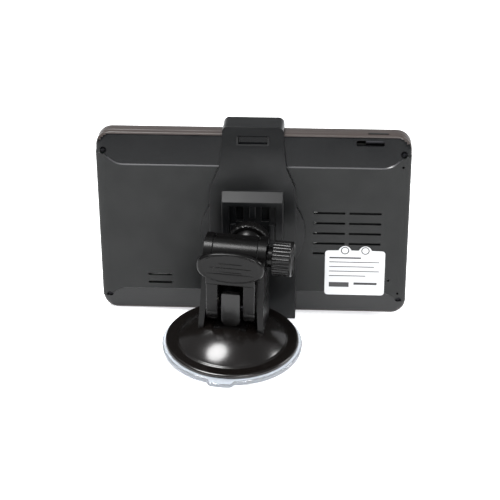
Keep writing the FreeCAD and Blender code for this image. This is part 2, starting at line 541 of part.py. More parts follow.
def make_arm():
    arm = Piece("arm", MOUNT)
    ear_low = "barrel_z-ear_radius"
    for side in (-1, 1):
        arm.slab("xz", [
            (f"{side}*fork_inside/2", "barrel_z"), (f"{side}*{FORK_OUT}", "barrel_z"),
            (f"{side}*{FORK_OUT}", ear_low), (f"{side}*({FORK_OUT}+base_flare)", f"{ARM_LOW}-7"),
            (f"{side}*(fork_inside/2+3.3)", f"{ARM_LOW}-7"), (f"{side}*fork_inside/2", ear_low)],
            "arm_foot_rear+12+arm_foot_front", "-(arm_foot_rear+12)")
    for foot, ear, far in (("-arm_foot_front", "barrel_y-ear_radius", "-arm_foot_front-20"),
                           ("arm_foot_rear", "barrel_y+ear_radius", "arm_foot_rear+30")):
        arm.slab("yz", [(far, f"{ARM_LOW}-8"), (foot, f"{ARM_LOW}-8"), (foot, f"{ARM_LOW}+arm_base"),
                        (ear, "barrel_z"), (ear, "barrel_z+40"), (far, "barrel_z+40")],
                 "80", "0", cut=True, middle=True)
    for side in (-1, 1):
        start = f"-{FORK_OUT}" if side < 0 else "fork_inside/2"
        arm.rod("x", (start, "barrel_y", "barrel_z"), "ear_radius", "ear_thick")
        arm.block((start, f"{start}+ear_thick"), ("barrel_y", "barrel_y+neck_deep"),
                  ("barrel_z-4", "barrel_z+ear_radius-0.6"))
    arm.block(("-foot_half", "foot_half"), ("-foot_front", "arm_foot_rear-2.5"),
              (f"{ARM_LOW}-4", f"{ARM_LOW}+arm_base"))
    arm.block(("-fork_inside/2-1.5", "fork_inside/2+1.5"), ("arm_foot_rear-2-web_thick", "arm_foot_rear-2"),
              (f"{ARM_LOW}-4", f"{ARM_LOW}+arm_base+web_high"))
    arm.globe(("0", "0", DOME_MIDDLE), "dome_ball+0.03", cut=True)
    arm.rod("x", ("-30", "barrel_y", "barrel_z"), "bolt_radius+fit_gap", "60", cut=True)
    arm.prism("x", (f"-{FORK_OUT}-1", "barrel_y", "barrel_z"), "nut_radius+0.1", "nut_thick+1", cut=True)
    arm.rod("z", ("0", "0", f"{ARM_LOW}-1"), "rod_radius+rod_gap+0.4", "arm_base+2", cut=True)
    arm.block(("-5", "5"), ("-3.3", "3.6"), (f"{ARM_LOW}+arm_base-1.4", f"{ARM_LOW}+arm_base+1"), cut=True)
    arm.rod("x", ("-18.2", "0", "lever_z"), "pin_radius+0.02", "36.4", cut=True)
    for x, y in BASE_SCREWS:
        arm.rod("z", (x, y, f"{ARM_LOW}-5"), "1.25", "6.7", cut=True)


BASE_SCREWS = [("-7", "10"), ("7", "10"), ("0", "-7.1")]


def make_hinge_hardware():
    bolt = Piece("hinge_bolt", MOUNT)
    bolt.rod("x", (f"-{FORK_OUT}-0.8", "barrel_y", "barrel_z"), "bolt_radius",
             f"{FORK_OUT}*2+0.8+spacer_long+knob_long-1.6")
    nut = Piece("hinge_nut", MOUNT)
    nut.prism("x", (f"-{FORK_OUT}-0.2", "barrel_y", "barrel_z"), "nut_radius", "nut_thick")
    nut.rod("x", (f"-{FORK_OUT}-2", "barrel_y", "barrel_z"), "bolt_radius+0.02", "8", cut=True)
    washers = Piece("friction_washers", MOUNT)
    for start in ("-fork_inside/2+0.1", "fork_inside/2-0.1-washer_thick"):
        washers.rod("x", (start, "barrel_y", "barrel_z"), "knuckle_radius-0.8", "washer_thick")
    washers.rod("x", ("-20", "barrel_y", "barrel_z"), "bolt_radius+0.1", "40", cut=True)
    spacer = Piece("knob_spacer", MOUNT)
    spacer.rod("x", (f"{FORK_OUT}+0.05", "barrel_y", "barrel_z"), "nut_radius+1.4", "spacer_long-0.1")
    spacer.rod("x", (f"{FORK_OUT}-1", "barrel_y", "barrel_z"), "bolt_radius+0.1", "spacer_long+2", cut=True)


def make_knob():
    knob = Piece("clamp_knob", MOUNT)
    start = f"({FORK_OUT}+spacer_long)"
    knob.rod("x", (start, "barrel_y", "barrel_z"), "knob_radius", "knob_long")
    knob.soften("Chamfer", "0.5", lambda edge: edge.Curve.TypeId == "Part::GeomCircle")
    ridges = 30
    for index in range(ridges):
        angle = 360 / ridges * index
        around = (f"barrel_y+(knob_radius+0.35)*cos({angle})", f"barrel_z+(knob_radius+0.35)*sin({angle})")
        knob.rod("x", (f"{start}-1", *around), "0.8", "knob_long-0.6", cut=True)
    knob.rod("x", (f"{start}-1", "barrel_y", "barrel_z"), "bolt_radius+fit_gap", "knob_long-0.2", cut=True)


# ---------------------------------------------------------------- cup, pad and lever
def make_cup():
    cup = Piece("cup_dome", MOUNT)
    middle = ("0", "0", DOME_MIDDLE)
    low = "flange_low"
    step = "flange_low+flange_thick"
    cup.globe(middle, "dome_ball")
    cup.block(("-60", "60"), ("-60", "60"), ("-100", low), cut=True)
    cup.globe(middle, "dome_ball-dome_wall", cut=True)
    cup.turned([("29", low), ("flange_radius", low), ("flange_radius", f"{step}-1.0"),
                ("flange_radius-1.2", step), ("29", step)])
    cup.rod("z", ("0", "0", "0"), "rod_radius+rod_gap", "30", cut=True)
    for x, y in BASE_SCREWS:
        cup.rod("z", (x, y, "dome_apex-8"), "1.25", "10", cut=True)


def make_pad():
    pad = Piece("suction_pad", MOUNT)
    top = "pad_thick"
    pad.turned([("0", "vacuum_deep-0.9"), ("pad_radius*0.72", "vacuum_deep-0.9"), ("pad_radius*0.86", "0"),
                ("pad_radius", "0"), ("pad_radius", f"{top}-0.5"), ("pad_radius-0.5", top),
                ("10", top), ("10", "8.8"), ("0", "8.8")])
    pad.block(("-tab_wide/2", "tab_wide/2"), ("-tab_reach", "-pad_radius+4"), ("0.6", f"{top}-0.4"))
    pad.soften("Fillet", "3.2", along("z", lambda at: at.y < -value("pad_radius") - 1))
    pad.rod("z", ("0", "0", "2.6"), "8.1", "5.2", cut=True)
    pad.rod("z", ("0", "0", "7"), "rod_radius+0.3", "3", cut=True)
    # the moulded-in disc travels in this room, where the real pad's middle is pulled up
    anchor = Piece("rod_anchor", MOUNT)
    anchor.rod("z", ("0", "0", "5.4"), "7.6", "1.6")
    rod = Piece("pull_rod", MOUNT)
    rod.rod("z", ("0", "0", "7.0"), "rod_radius", "lever_z-7.0-1")
    rod.block(("-4.4", "4.4"), ("-3.1", "3.1"), ("lever_z-4.2", "lever_z+3.6"))
    rod.rod("x", ("-6", "0", "lever_z"), "pin_radius+0.1", "12", cut=True)
    rod.block(("-6", "6"), ("-pin_radius-0.1", "pin_radius+0.1"), ("lever_z", "lever_z+rod_travel+0.2"),
              cut=True)
    rod.rod("x", ("-6", "0", "lever_z+rod_travel+0.2"), "pin_radius+0.1", "12", cut=True)
    spring = Piece("release_spring", MOUNT)
    wire = spring.sketch("xz", [("4.2", "9.2"), ("5.0", "9.2"), ("5.0", "10.0"), ("4.2", "10.0")])
    coil = spring.feature("AdditiveHelix")
    coil.Profile = wire
    coil.ReferenceAxis = (wire, ["V_Axis"])
    coil.Mode = 0
    coil.Pitch = 1.3
    coil.Height = 2.9
    coil.Angle = 0
    coil.Growth = 0
    screws = Piece("base_screws", MOUNT)
    for x, y in BASE_SCREWS:
        screws.rod("z", (x, y, "dome_apex-dome_wall-4.0"), "1.9", "1.4")
        screws.rod("z", (x, y, "dome_apex-dome_wall-3.0"), "1.2", "4.8")


def make_lever():
    lever = Piece("lock_lever", MOUNT)
    inner = "(lever_wide/2-lever_leg)"
    for side in (-1, 1):
        leg = sorted((f"{side}*{inner}", f"{side}*lever_wide/2"), key=value)
        lever.block(leg, ("-lever_front", "-lever_front+4.6"), ("lever_z-2.4", "paddle_z-6"))
        lever.rod("x", (leg[0], "0", "lever_z"), "heel_radius", "lever_leg")
        lever.block(leg, ("-lever_front+2", "0"), ("lever_z-heel_radius+3", "lever_z+heel_radius"))
    lever.block(("-lever_wide/2", "lever_wide/2"), ("-lever_front-1.4", "-lever_front+3.4"),
                ("paddle_z-11.4", "paddle_z-5"))
    lever.block(("-paddle_wide/2", "paddle_wide/2"), ("-lever_front-2", "-lever_front-2+paddle_thick"),
                ("paddle_z-paddle_tall/2", "paddle_z+paddle_tall/2"))
    lever.soften("Fillet", "paddle_tall/2-0.3", along(
        "y", lambda at: abs(abs(at.x) - value("paddle_wide/2")) < 0.05))
    lever.rod("x", ("-lever_wide/2-1", "0", "lever_z"), "pin_radius+fit_gap", "lever_wide+2", cut=True)
    pin = Piece("lever_pin", MOUNT)
    pin.rod("x", ("-18", "0", "lever_z"), "pin_radius", "36")
    tongue = Piece("arm_tongue", MOUNT)
    tongue.block(("-tongue_wide/2", "tongue_wide/2"), ("-6.8", "-3.6"),
                 ("dome_apex", "dome_apex+tongue_high"))
    tongue.soften("Fillet", "1.0", along("z"))


make_front_bezel()
make_back_shell()
make_screen_stack()
make_electronics()
make_sockets()
make_case_trim()
make_cradle()
make_claw_plate()
make_ball_joint()
make_arm()
make_hinge_hardware()
make_knob()
make_cup()
make_pad()
make_lever()
doc.recompute()

failed = [item.Name for item in doc.Objects if "Invalid" in item.State or "Error" in item.State]
if failed:
    raise RuntimeError("did not build: " + ", ".join(failed))
for piece in Piece.made:
    shape = piece.body.Shape
    if shape.isNull() or not shape.isValid() or not shape.Solids:
        raise RuntimeError(piece.body.Label + " has no valid solid")

os.makedirs("parts", exist_ok=True)
for piece in Piece.made:
    piece.body.Shape.exportStep(os.path.join("parts", piece.body.Label + ".step"))
    box = piece.body.Shape.BoundBox
    print(f"{piece.body.Label:18s} {len(piece.body.Shape.Solids)} solid(s) {piece.body.Shape.Volume:10.1f} mm3"
          f"  x {box.XMin:7.1f}..{box.XMax:6.1f}  y {box.YMin:6.1f}..{box.YMax:6.1f}"
          f"  z {box.ZMin:6.1f}..{box.ZMax:6.1f}")
print(len(Piece.made), "sub-parts written")
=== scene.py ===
import json
import math

import bmesh
import bpy
from mathutils import Matrix, Vector


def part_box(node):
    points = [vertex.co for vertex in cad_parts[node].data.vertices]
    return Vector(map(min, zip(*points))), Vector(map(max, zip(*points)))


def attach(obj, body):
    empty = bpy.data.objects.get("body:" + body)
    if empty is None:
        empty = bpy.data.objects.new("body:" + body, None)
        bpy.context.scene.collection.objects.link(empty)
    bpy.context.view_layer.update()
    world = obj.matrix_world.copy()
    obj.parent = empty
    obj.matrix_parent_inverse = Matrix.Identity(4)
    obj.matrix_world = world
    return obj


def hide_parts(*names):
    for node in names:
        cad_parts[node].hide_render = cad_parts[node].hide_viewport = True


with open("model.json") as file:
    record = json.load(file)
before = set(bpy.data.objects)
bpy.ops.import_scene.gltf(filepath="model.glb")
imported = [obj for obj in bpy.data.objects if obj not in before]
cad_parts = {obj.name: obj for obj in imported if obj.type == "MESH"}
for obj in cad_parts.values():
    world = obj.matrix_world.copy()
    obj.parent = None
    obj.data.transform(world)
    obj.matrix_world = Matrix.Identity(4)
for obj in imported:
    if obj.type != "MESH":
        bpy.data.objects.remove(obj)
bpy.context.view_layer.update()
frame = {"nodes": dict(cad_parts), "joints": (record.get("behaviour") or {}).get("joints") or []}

bl_info = {
    "name": "Portable navigator on a suction mount",
    "version": (1, 0, 0),
    "blender": (4, 5, 0),
    "location": "3D View > Sidebar > Navigator",
    "description": "Builds the looks of a portable navigator, its cradle, arm and suction cup",
    "category": "Object",
}

MM = 0.001


# ------------------------------------------------------------------ where things are
def joint(name):
    return next(item for item in frame["joints"] if item["name"] == name)


def head_matrix():
    """The ball's centre, with x along the device's width, y into the case and z up it."""
    across, into, up = (Vector(joint(name)["axis"]) for name in ("device_slide", "head_swivel", "cradle_slide"))
    turn = Matrix((across, into, up)).transposed().to_4x4()
    return Matrix.Translation(Vector(joint("head_swivel")["pos_m"])) @ turn


HEAD = head_matrix()
WORLD = Matrix.Identity(4)


def span(node, matrix=HEAD):
    """Lowest and highest corner of a CAD node in a frame, in millimetres."""
    back = matrix.inverted()
    points = [back @ vertex.co for vertex in frame["nodes"][node].data.vertices]
    low = Vector([min(point[i] for point in points) for i in range(3)]) / MM
    high = Vector([max(point[i] for point in points) for i in range(3)]) / MM
    return low, high


SHELL_LOW, SHELL_HIGH = span("back_shell")
PANEL_LOW, PANEL_HIGH = span("touch_panel")
MID = (SHELL_LOW + SHELL_HIGH) / 2
HALF_W = (SHELL_HIGH.x - SHELL_LOW.x) / 2
HALF_T = (SHELL_HIGH.z - SHELL_LOW.z) / 2
BACK_Y, SEAM_Y, FRONT_Y = SHELL_LOW.y, SHELL_HIGH.y, span("front_bezel")[1].y
# The flat back's creases above and below its middle, and how the sides and the screws sit, in millimetres.
CREASE_UP, CREASE_DOWN = 39.2, 42.5
SIDE_ROUND = 6.2
BAND_DEEP = 3.7
SCREW_IN_X, SCREW_IN_Z = 4.5, 10.8


# ------------------------------------------------------------------ meshes
def piece(name, vertices, faces, matrix, body, slot, material, replaced=(), angle=35):
    """A mesh from points in millimetres, placed, finished and riding on its body."""
    mesh = bpy.data.meshes.new(name)
    mesh.from_pydata([Vector(v) * MM for v in vertices], [], faces)
    mesh.transform(matrix)
    thing = bpy.data.objects.new(name, mesh)
    bpy.context.scene.collection.objects.link(thing)
    return dress(thing, body, material, replaced, angle)


def dress(thing, body, material, replaced=(), angle=35):
    """Tidy the mesh, shade it, give it its material and set it on its CAD body."""
    shape = bmesh.new()
    shape.from_mesh(thing.data)
    bmesh.ops.remove_doubles(shape, verts=shape.verts, dist=2e-6)
    bmesh.ops.dissolve_degenerate(shape, edges=shape.edges, dist=2e-6)
    bmesh.ops.recalc_face_normals(shape, faces=shape.faces)
    shape.to_mesh(thing.data)
    shape.free()
    thing.data.shade_smooth()
    thing.data.set_sharp_from_angle(angle=math.radians(angle))
    thing.data.materials.clear()
    thing.data.materials.append(MATERIALS[material]())
    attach(thing, body)
    if replaced:
        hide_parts(*replaced)
    return thing


def apply(thing, kind, **settings):
    """Add one modifier, bake its result into the mesh and drop it."""
    modifier = thing.modifiers.new(kind.lower(), kind)
    for name, value in settings.items():
        setattr(modifier, name, value)
    bpy.context.view_layer.update()
    result = bpy.data.meshes.new_from_object(thing.evaluated_get(bpy.context.evaluated_depsgraph_get()))
    thing.modifiers.clear()
    thing.data = result
    return thing


def eased(node, name, body, material, width=0.35, segments=2, angle=30):
    """A CAD node's shape with its moulded edges rounded over."""
    thing = bpy.data.objects.new(name, frame["nodes"][node].data.copy())
    bpy.context.scene.collection.objects.link(thing)
    shape = bmesh.new()
    shape.from_mesh(thing.data)
    bmesh.ops.remove_doubles(shape, verts=shape.verts, dist=1e-6)
    bmesh.ops.dissolve_limit(shape, angle_limit=math.radians(1.0), verts=shape.verts, edges=shape.edges)
    shape.to_mesh(thing.data)
    shape.free()
    apply(thing, "BEVEL", width=width * MM, segments=segments, limit_method="ANGLE",
          angle_limit=math.radians(angle), use_clamp_overlap=True, miter_outer="MITER_ARC")
    dress(thing, body, material, (node,), 40)
    return apply(thing, "WEIGHTED_NORMAL", keep_sharp=True)


def carve(thing, cutters):
    """Take closed cutter meshes, points and faces in millimetres, out of an object."""
    for number, (vertices, faces, matrix) in enumerate(cutters):
        mesh = bpy.data.meshes.new("cutter")
        mesh.from_pydata([Vector(v) * MM for v in vertices], [], faces)
        mesh.transform(matrix)
        shape = bmesh.new()
        shape.from_mesh(mesh)
        bmesh.ops.recalc_face_normals(shape, faces=shape.faces)
        shape.to_mesh(mesh)
        shape.free()
        cutter = bpy.data.objects.new(f"cutter_{number}", mesh)
        bpy.context.scene.collection.objects.link(cutter)
        apply(thing, "BOOLEAN", operation="DIFFERENCE", solver="EXACT", object=cutter)
        bpy.data.objects.remove(cutter)
        bpy.data.meshes.remove(mesh)
    return thing


def walled(shape, inward):
    """Turn an open sheet into a closed wall whose inner side is the sheet moved by inward."""
    skin, border = list(shape.faces), [item for item in shape.edges if item.is_boundary]
    inner = {vertex: shape.verts.new(inward(vertex.co)) for vertex in list(shape.verts)}
    for face in skin:
        shape.faces.new([inner[vertex] for vertex in reversed(face.verts)])
    for item in border:
        first, second = item.verts
        shape.faces.new((first, second, inner[second], inner[first]))
    bmesh.ops.recalc_face_normals(shape, faces=shape.faces)


def tube_faces(rings, steps, closed_ends=True, closed_rings=False):
    """Quads between rings of equal length, with the first and last ring filled."""
    faces = []
    pairs = rings if closed_rings else rings - 1
    for ring in range(pairs):
        here, there = ring * steps, (ring + 1) % rings * steps
        for step in range(steps):
            after = (step + 1) % steps
            faces.append((here + step, here + after, there + after, there + step))
    if closed_ends and not closed_rings:
        faces.append(tuple(range(steps)))
        faces.append(tuple((rings - 1) * steps + step for step in range(steps)))
    return faces


def lathe(profile, steps=96, closed_rings=False):
    """Rings about the z axis through (radius, height) pairs."""
    vertices = [(radius * math.cos(math.tau * step / steps), radius * math.sin(math.tau * step / steps), height)
                for radius, height in profile for step in range(steps)]
    return vertices, tube_faces(len(profile), steps, closed_rings=closed_rings)


def rounded(corners, radius=1.0, steps=6):
    """Round the corners of an outline; each corner may bring its own radius."""
    points = []
    for index, corner in enumerate(corners):
        here = Vector(corner[:2])
        size = corner[2] if len(corner) > 2 else radius
        before = (Vector(corners[index - 1][:2]) - here)
        after = (Vector(corners[(index + 1) % len(corners)][:2]) - here)
        half = before.angle(after) / 2
        reach = min(size / math.tan(half), before.length * 0.49, after.length * 0.49)
        start, end = here + before.normalized() * reach, here + after.normalized() * reach
        for step in range(steps + 1):
            t = step / steps
            points.append(start * (1 - t) ** 2 + here * 2 * t * (1 - t) + end * t ** 2)
    return points


def frame_loop(half_w, half_t, radius, steps=10):
    """A rounded rectangle about the origin, with the same count of points for any size."""
    radius = max(radius, 0.05)
    points = []
    for quarter, (side_x, side_z) in enumerate(((1, 1), (-1, 1), (-1, -1), (1, -1))):
        centre = Vector((side_x * (half_w - radius), side_z * (half_t - radius)))
        for step in range(steps + 1):
            angle = math.pi / 2 * (quarter + step / steps)
            points.append(centre + Vector((math.cos(angle), math.sin(angle))) * radius)
    return points


def drawn(outline, levels):
    """Stack an outline along a third axis: each level is (height, inset)."""
    centre = sum((Vector(point) for point in outline), Vector((0, 0))) / len(outline)
    vertices = []
    for height, inset in levels:
        for index, point in enumerate(outline):
            before, after = Vector(outline[index - 1]), Vector(outline[(index + 1) % len(outline)])
            along = after - before
            normal = Vector((along.y, -along.x))
            if normal.length:
                normal.normalize()
            if normal.dot(Vector(point) - centre) < 0 and len(outline) > 3 and inset:
                normal = normal if turning(outline) > 0 else -normal
            elif turning(outline) < 0:
                normal = -normal
            spot = Vector(point) - normal * inset
            vertices.append((spot.x, spot.y, height))
    return vertices, tube_faces(len(levels), len(outline))


def turning(outline):
    """Positive for an outline that runs anticlockwise."""
    return sum(a[0] * b[1] - b[0] * a[1] for a, b in zip(outline, list(outline[1:]) + [outline[0]]))


def soft_levels(low, high, edge):
    """Levels of a plate whose two rims are rounded over by the edge size."""
    turn = [(edge * (1 - math.sin(math.pi / 8 * k)), edge * (1 - math.cos(math.pi / 8 * k)))
            for k in (0, 1, 2, 3, 4)]
    rise = [(low + inset_h, inset_r) for inset_r, inset_h in turn]
    fall = [(high - inset_h, inset_r) for inset_r, inset_h in reversed(turn)]
    return rise + fall


def facing(axis, at=(0, 0, 0)):
    """A matrix that lays a drawn shape's height along x, y or z, from a place in mm."""
    turns = {
        "x": Matrix(((0, 0, 1), (1, 0, 0), (0, 1, 0))),
        "y": Matrix(((1, 0, 0), (0, 0, 1), (0, 1, 0))),
        "z": Matrix.Identity(3),
    }
    return Matrix.Translation(Vector(at) * MM) @ turns[axis].to_4x4()


def cylinder(radius, low, high, steps=40):
    return lathe([(radius, low), (radius, high)], steps)


def merged(parts):
    """Several (vertices, faces) as one, each with its own matrix."""
    vertices, faces = [], []
    for part_vertices, part_faces, matrix in parts:
        start = len(vertices)
        vertices += [(matrix @ (Vector(v) * MM)) / MM for v in part_vertices]
        faces += [tuple(start + index for index in face) for face in part_faces]
    return vertices, faces


# ------------------------------------------------------------------ materials
def linear(hex_code):
    """An sRGB hex value as a linear colour with alpha."""
    parts = [int(hex_code[i:i + 2], 16) / 255 for i in (1, 3, 5)]
    return [part / 12.92 if part <= 0.04045 else ((part + 0.055) / 1.055) ** 2.4 for part in parts] + [1.0]


def add(tree, kind, settings=None, links=None):
    """Add a node, set its sockets or properties and link outputs into its sockets."""
    made = tree.nodes.new("ShaderNode" + kind)
    for name, value in (settings or {}).items():
        if name in made.inputs:
            made.inputs[name].default_value = value
        else:
            setattr(made, name, value)
    for name, source in (links or {}).items():
        tree.links.new(source, made.inputs[name])
    return made


def surface(name, base, shade, grain_mm, bump_mm, rough, spread=0.06, **shader):
    """A moulded, painted or printed surface: two near colours and a fine relief.

    base and shade are the colour's two ends, grain_mm is the size of the relief's grains,
    bump_mm its depth and rough the roughness that spread varies a little.
    """
    if name in bpy.data.materials:
        return bpy.data.materials[name]
    material = bpy.data.materials.new(name)
    material.use_nodes = True
    tree = material.node_tree
    tree.nodes.clear()
    place = add(tree, "TexCoord")
    grain = add(tree, "TexNoise", {"Scale": 1 / (grain_mm * MM), "Detail": 3.0, "Roughness": 0.55},
                {"Vector": place.outputs["Object"]})
    cloud = add(tree, "TexNoise", {"Scale": 1 / (14 * MM), "Detail": 2.0}, {"Vector": place.outputs["Object"]})
    colour = add(tree, "Mix", {"data_type": "RGBA"})
    for socket, value in ((6, linear(base)), (7, linear(shade))):
        colour.inputs[socket].default_value = value
    tree.links.new(cloud.outputs["Fac"], colour.inputs[0])
    gloss = add(tree, "MapRange", {"From Min": 0.3, "From Max": 0.7, "To Min": max(rough - spread, 0.02),
                                   "To Max": min(rough + spread, 1.0)}, {"Value": cloud.outputs["Fac"]})
    relief = add(tree, "Bump", {"Strength": 1.0, "Distance": bump_mm * MM}, {"Height": grain.outputs["Fac"]})
    body = add(tree, "BsdfPrincipled", shader, {
        "Base Color": colour.outputs[2], "Roughness": gloss.outputs["Result"], "Normal": relief.outputs["Normal"]})
    add(tree, "OutputMaterial", links={"Surface": body.outputs["BSDF"]})
    return material


# Each finish starts from what the real one is made of and how it was made.
MATERIALS = {
    # spark-eroded tool face on ABS: an even, very fine grain that dulls the reflection
    "case_abs": lambda: surface("ABS_case_spark_eroded", "#181919", "#141515", 0.45, 0.012, 0.45, IOR=1.53,
                                **{"Specular IOR Level": 0.22}),
    # the bevelled bands are polished in the same moulding: glossier, and darker in colour as painted shade
    "band_gloss_and_shade": lambda: surface("ABS_case_polished_band_painted_shade", "#07080a", "#060708", 2.5, 0.003, 0.2, IOR=1.53,
                                **{"Specular IOR Level": 0.3}),
    # soft-feel lacquer over ABS on the rim: warm grey, satin
    "rim_paint": lambda: surface("Lacquered_ABS_warm_grey", "#3a3330", "#332d2b", 0.6, 0.004, 0.36, IOR=1.5,
                                 **{"Specular IOR Level": 0.35}),
    # glass-filled nylon of the cradle: black and slightly mottled by the flow of the fill
    "cradle_nylon": lambda: surface("Nylon_cradle_moulded", "#090a0b", "#070809", 0.5, 0.010, 0.34, IOR=1.53,
                                    **{"Specular IOR Level": 0.22}),
    # arm and lever, acetal with a fine moulded texture
    "arm_acetal": lambda: surface("Acetal_arm_moulded", "#070606", "#050505", 0.5, 0.010, 0.28, IOR=1.48,
                                  **{"Specular IOR Level": 0.2}),
    # grey acetal of the clips and the tongue
    "clip_acetal": lambda: surface("Acetal_clip_grey", "#1b1c1c", "#161717", 0.5, 0.01, 0.4, IOR=1.48,
                                   **{"Specular IOR Level": 0.3}),
    # polished black acetal of the tongue
    "tongue_acetal": lambda: surface("Acetal_tongue_polished", "#0d0c0c", "#090909", 1.5, 0.004, 0.24, IOR=1.48,
                                     **{"Specular IOR Level": 0.4}),
    # the shoulder of each crease: a thin paler line, a painted highlight where the step catches the light
    "crease_highlight_abs": lambda: surface("ABS_crease_painted_highlight", "#3a3a3c", "#303032", 0.6, 0.004, 0.35, IOR=1.53),
    # knob and collar: moulded ridges, a little shinier from handling
    "knob_abs": lambda: surface("ABS_knob_moulded", "#0b0a0a", "#080808", 0.5, 0.008, 0.3, IOR=1.53,
                                **{"Specular IOR Level": 0.25}),
    # polished polycarbonate cap of the cup: nearly a mirror over black-brown
    "cup_polycarbonate": lambda: surface("Polycarbonate_cap_polished", "#0c0908", "#090706", 6.0, 0.002, 0.2,
                                         0.02, IOR=1.585, **{"Specular IOR Level": 0.35}),
    # clear polyurethane pad: see-through with a blue-grey edge
    "pad_polyurethane": lambda: surface("Polyurethane_pad_clear", "#e3e7ec", "#d8dfe6", 5.0, 0.006, 0.09, 0.03,
                                        IOR=1.49, **{"Transmission Weight": 0.82}),
    # printed film label: satin silver-white ground with black print
    "label_film": lambda: surface("Polyester_label_film", "#c9cacb", "#c2c3c5", 1.2, 0.002, 0.3, IOR=1.57),
    "label_print": lambda: surface("Screen_print_black", "#2b2b2d", "#232325", 1.2, 0.002, 0.4, IOR=1.5),
    # zinc-plated steel screws: bright, with a soft blue cast
    "zinc_steel": lambda: surface("Zinc_plated_steel", "#8d9094", "#7c7f84", 0.3, 0.004, 0.28, Metallic=1.0),
    # the case screws are blackened: dark, with an oiled sheen
    "black_steel": lambda: surface("Blackened_steel_screw", "#232325", "#1a1a1c", 0.3, 0.004, 0.36, Metallic=1.0),
    # black nickel on the shell of the charging socket
    "black_nickel": lambda: surface("Black_nickel_plate", "#3b3b3e", "#323235", 0.5, 0.003, 0.3, Metallic=1.0),
    # turned and ground steel of the ball, bolt and pins
    "bright_steel": lambda: surface("Turned_steel", "#a5a7aa", "#94969a", 0.25, 0.004, 0.22, Metallic=1.0),
    # tin-plated spring steel of the cans and sockets
    "tin_plate": lambda: surface("Tin_plated_steel", "#b1b2b0", "#a1a2a0", 0.6, 0.004, 0.33, Metallic=1.0),
    # extruded aluminium back of the display
    "display_alu": lambda: surface("Rolled_aluminium", "#b9bbbd", "#abadb0", 0.5, 0.005, 0.38, Metallic=1.0),
    # solder mask over glass-fibre board: green with the weave just showing
    "board_mask": lambda: surface("Solder_mask_green", "#14503a", "#0f4230", 0.8, 0.02, 0.3, IOR=1.55),
    # moulded epoxy of the chips and sockets
    "epoxy_black": lambda: surface("Moulded_epoxy_black", "#1c1c1d", "#161617", 0.3, 0.01, 0.55, IOR=1.55),
    # aluminium-polymer wrap of the battery
    "battery_foil": lambda: surface("Pouch_foil_grey", "#7f858c", "#737980", 2.5, 0.02, 0.32, Metallic=0.6),
    # fired ceramic of the antenna patch
    "patch_ceramic": lambda: surface("Fired_ceramic_cream", "#cdbf9f", "#c2b494", 0.3, 0.01, 0.6, IOR=1.6),
    # polyimide film of the flat cables
    "polyimide": lambda: surface("Polyimide_film_amber", "#a8621d", "#965417", 1.5, 0.004, 0.25, IOR=1.7),
    # closed-cell foam of the gasket and rubber of the washers
    "foam_black": lambda: surface("Closed_cell_foam", "#262626", "#1d1d1d", 0.35, 0.05, 0.85, IOR=1.45),
    # paper cone and cloth of the speaker
    "speaker_cloth": lambda: surface("Speaker_cloth_black", "#161616", "#101010", 0.5, 0.04, 0.8, IOR=1.45),
    # hard-coated glass over black print: deep, clean gloss
    "screen_glass": lambda: surface("Coated_glass_black_print", "#0b0c0e", "#090a0c", 9.0, 0.0006, 0.05, 0.02,
                                    IOR=1.52, **{"Coat Weight": 0.4, "Coat Roughness": 0.03}),
    # natural acetal of the ball race and the pull rod
    "acetal_natural": lambda: surface("Acetal_natural", "#c9c7bd", "#bdbbb1", 0.5, 0.008, 0.35, IOR=1.48),
    # plain backdrop card
    "backdrop": lambda: surface("Backdrop_card_white", "#fbfbfb", "#f9f9f9", 3.0, 0.01, 0.7, IOR=1.4,
                                **{"Emission Color": (0.96, 0.97, 1.0, 1.0), "Emission Strength": 0.62}),
}


# ------------------------------------------------------------------ navigator case
def case_outline_fit(u, v, half_w, half_t, radius):
    """Pull a point outside the rounded corners back onto their arcs."""
    centre = Vector((math.copysign(half_w - radius, u), math.copysign(half_t - radius, v)))
    if abs(u) <= abs(centre.x) or abs(v) <= abs(centre.y):
        return u, v, min(half_w - abs(u), half_t - abs(v))
    away = Vector((u, v)) - centre
    if away.length <= radius:
        return u, v, radius - away.length
    spot = centre + away.normalized() * radius
    return spot.x, spot.y, 0.0


def crease_rise(u):
    """How far the flat back's creases turn out towards the corner screws."""
    reach = max(0.0, min(1.0, (abs(u) - (HALF_W - 17)) / 12.6))
    return 7.4 * reach ** 2.2


def crease_lines(u):
    """Heights of the upper and the lower crease at a place along the width."""
    return CREASE_UP + crease_rise(u), -(CREASE_DOWN + crease_rise(u) * 0.85)


def screw_spots():
    """Where the four corner screws stand, as x and z."""
    return [(MID.x + side_x * (HALF_W - SCREW_IN_X), MID.z + side_z * (HALF_T - SCREW_IN_Z))
            for side_x in (-1, 1) for side_z in (-1, 1)]


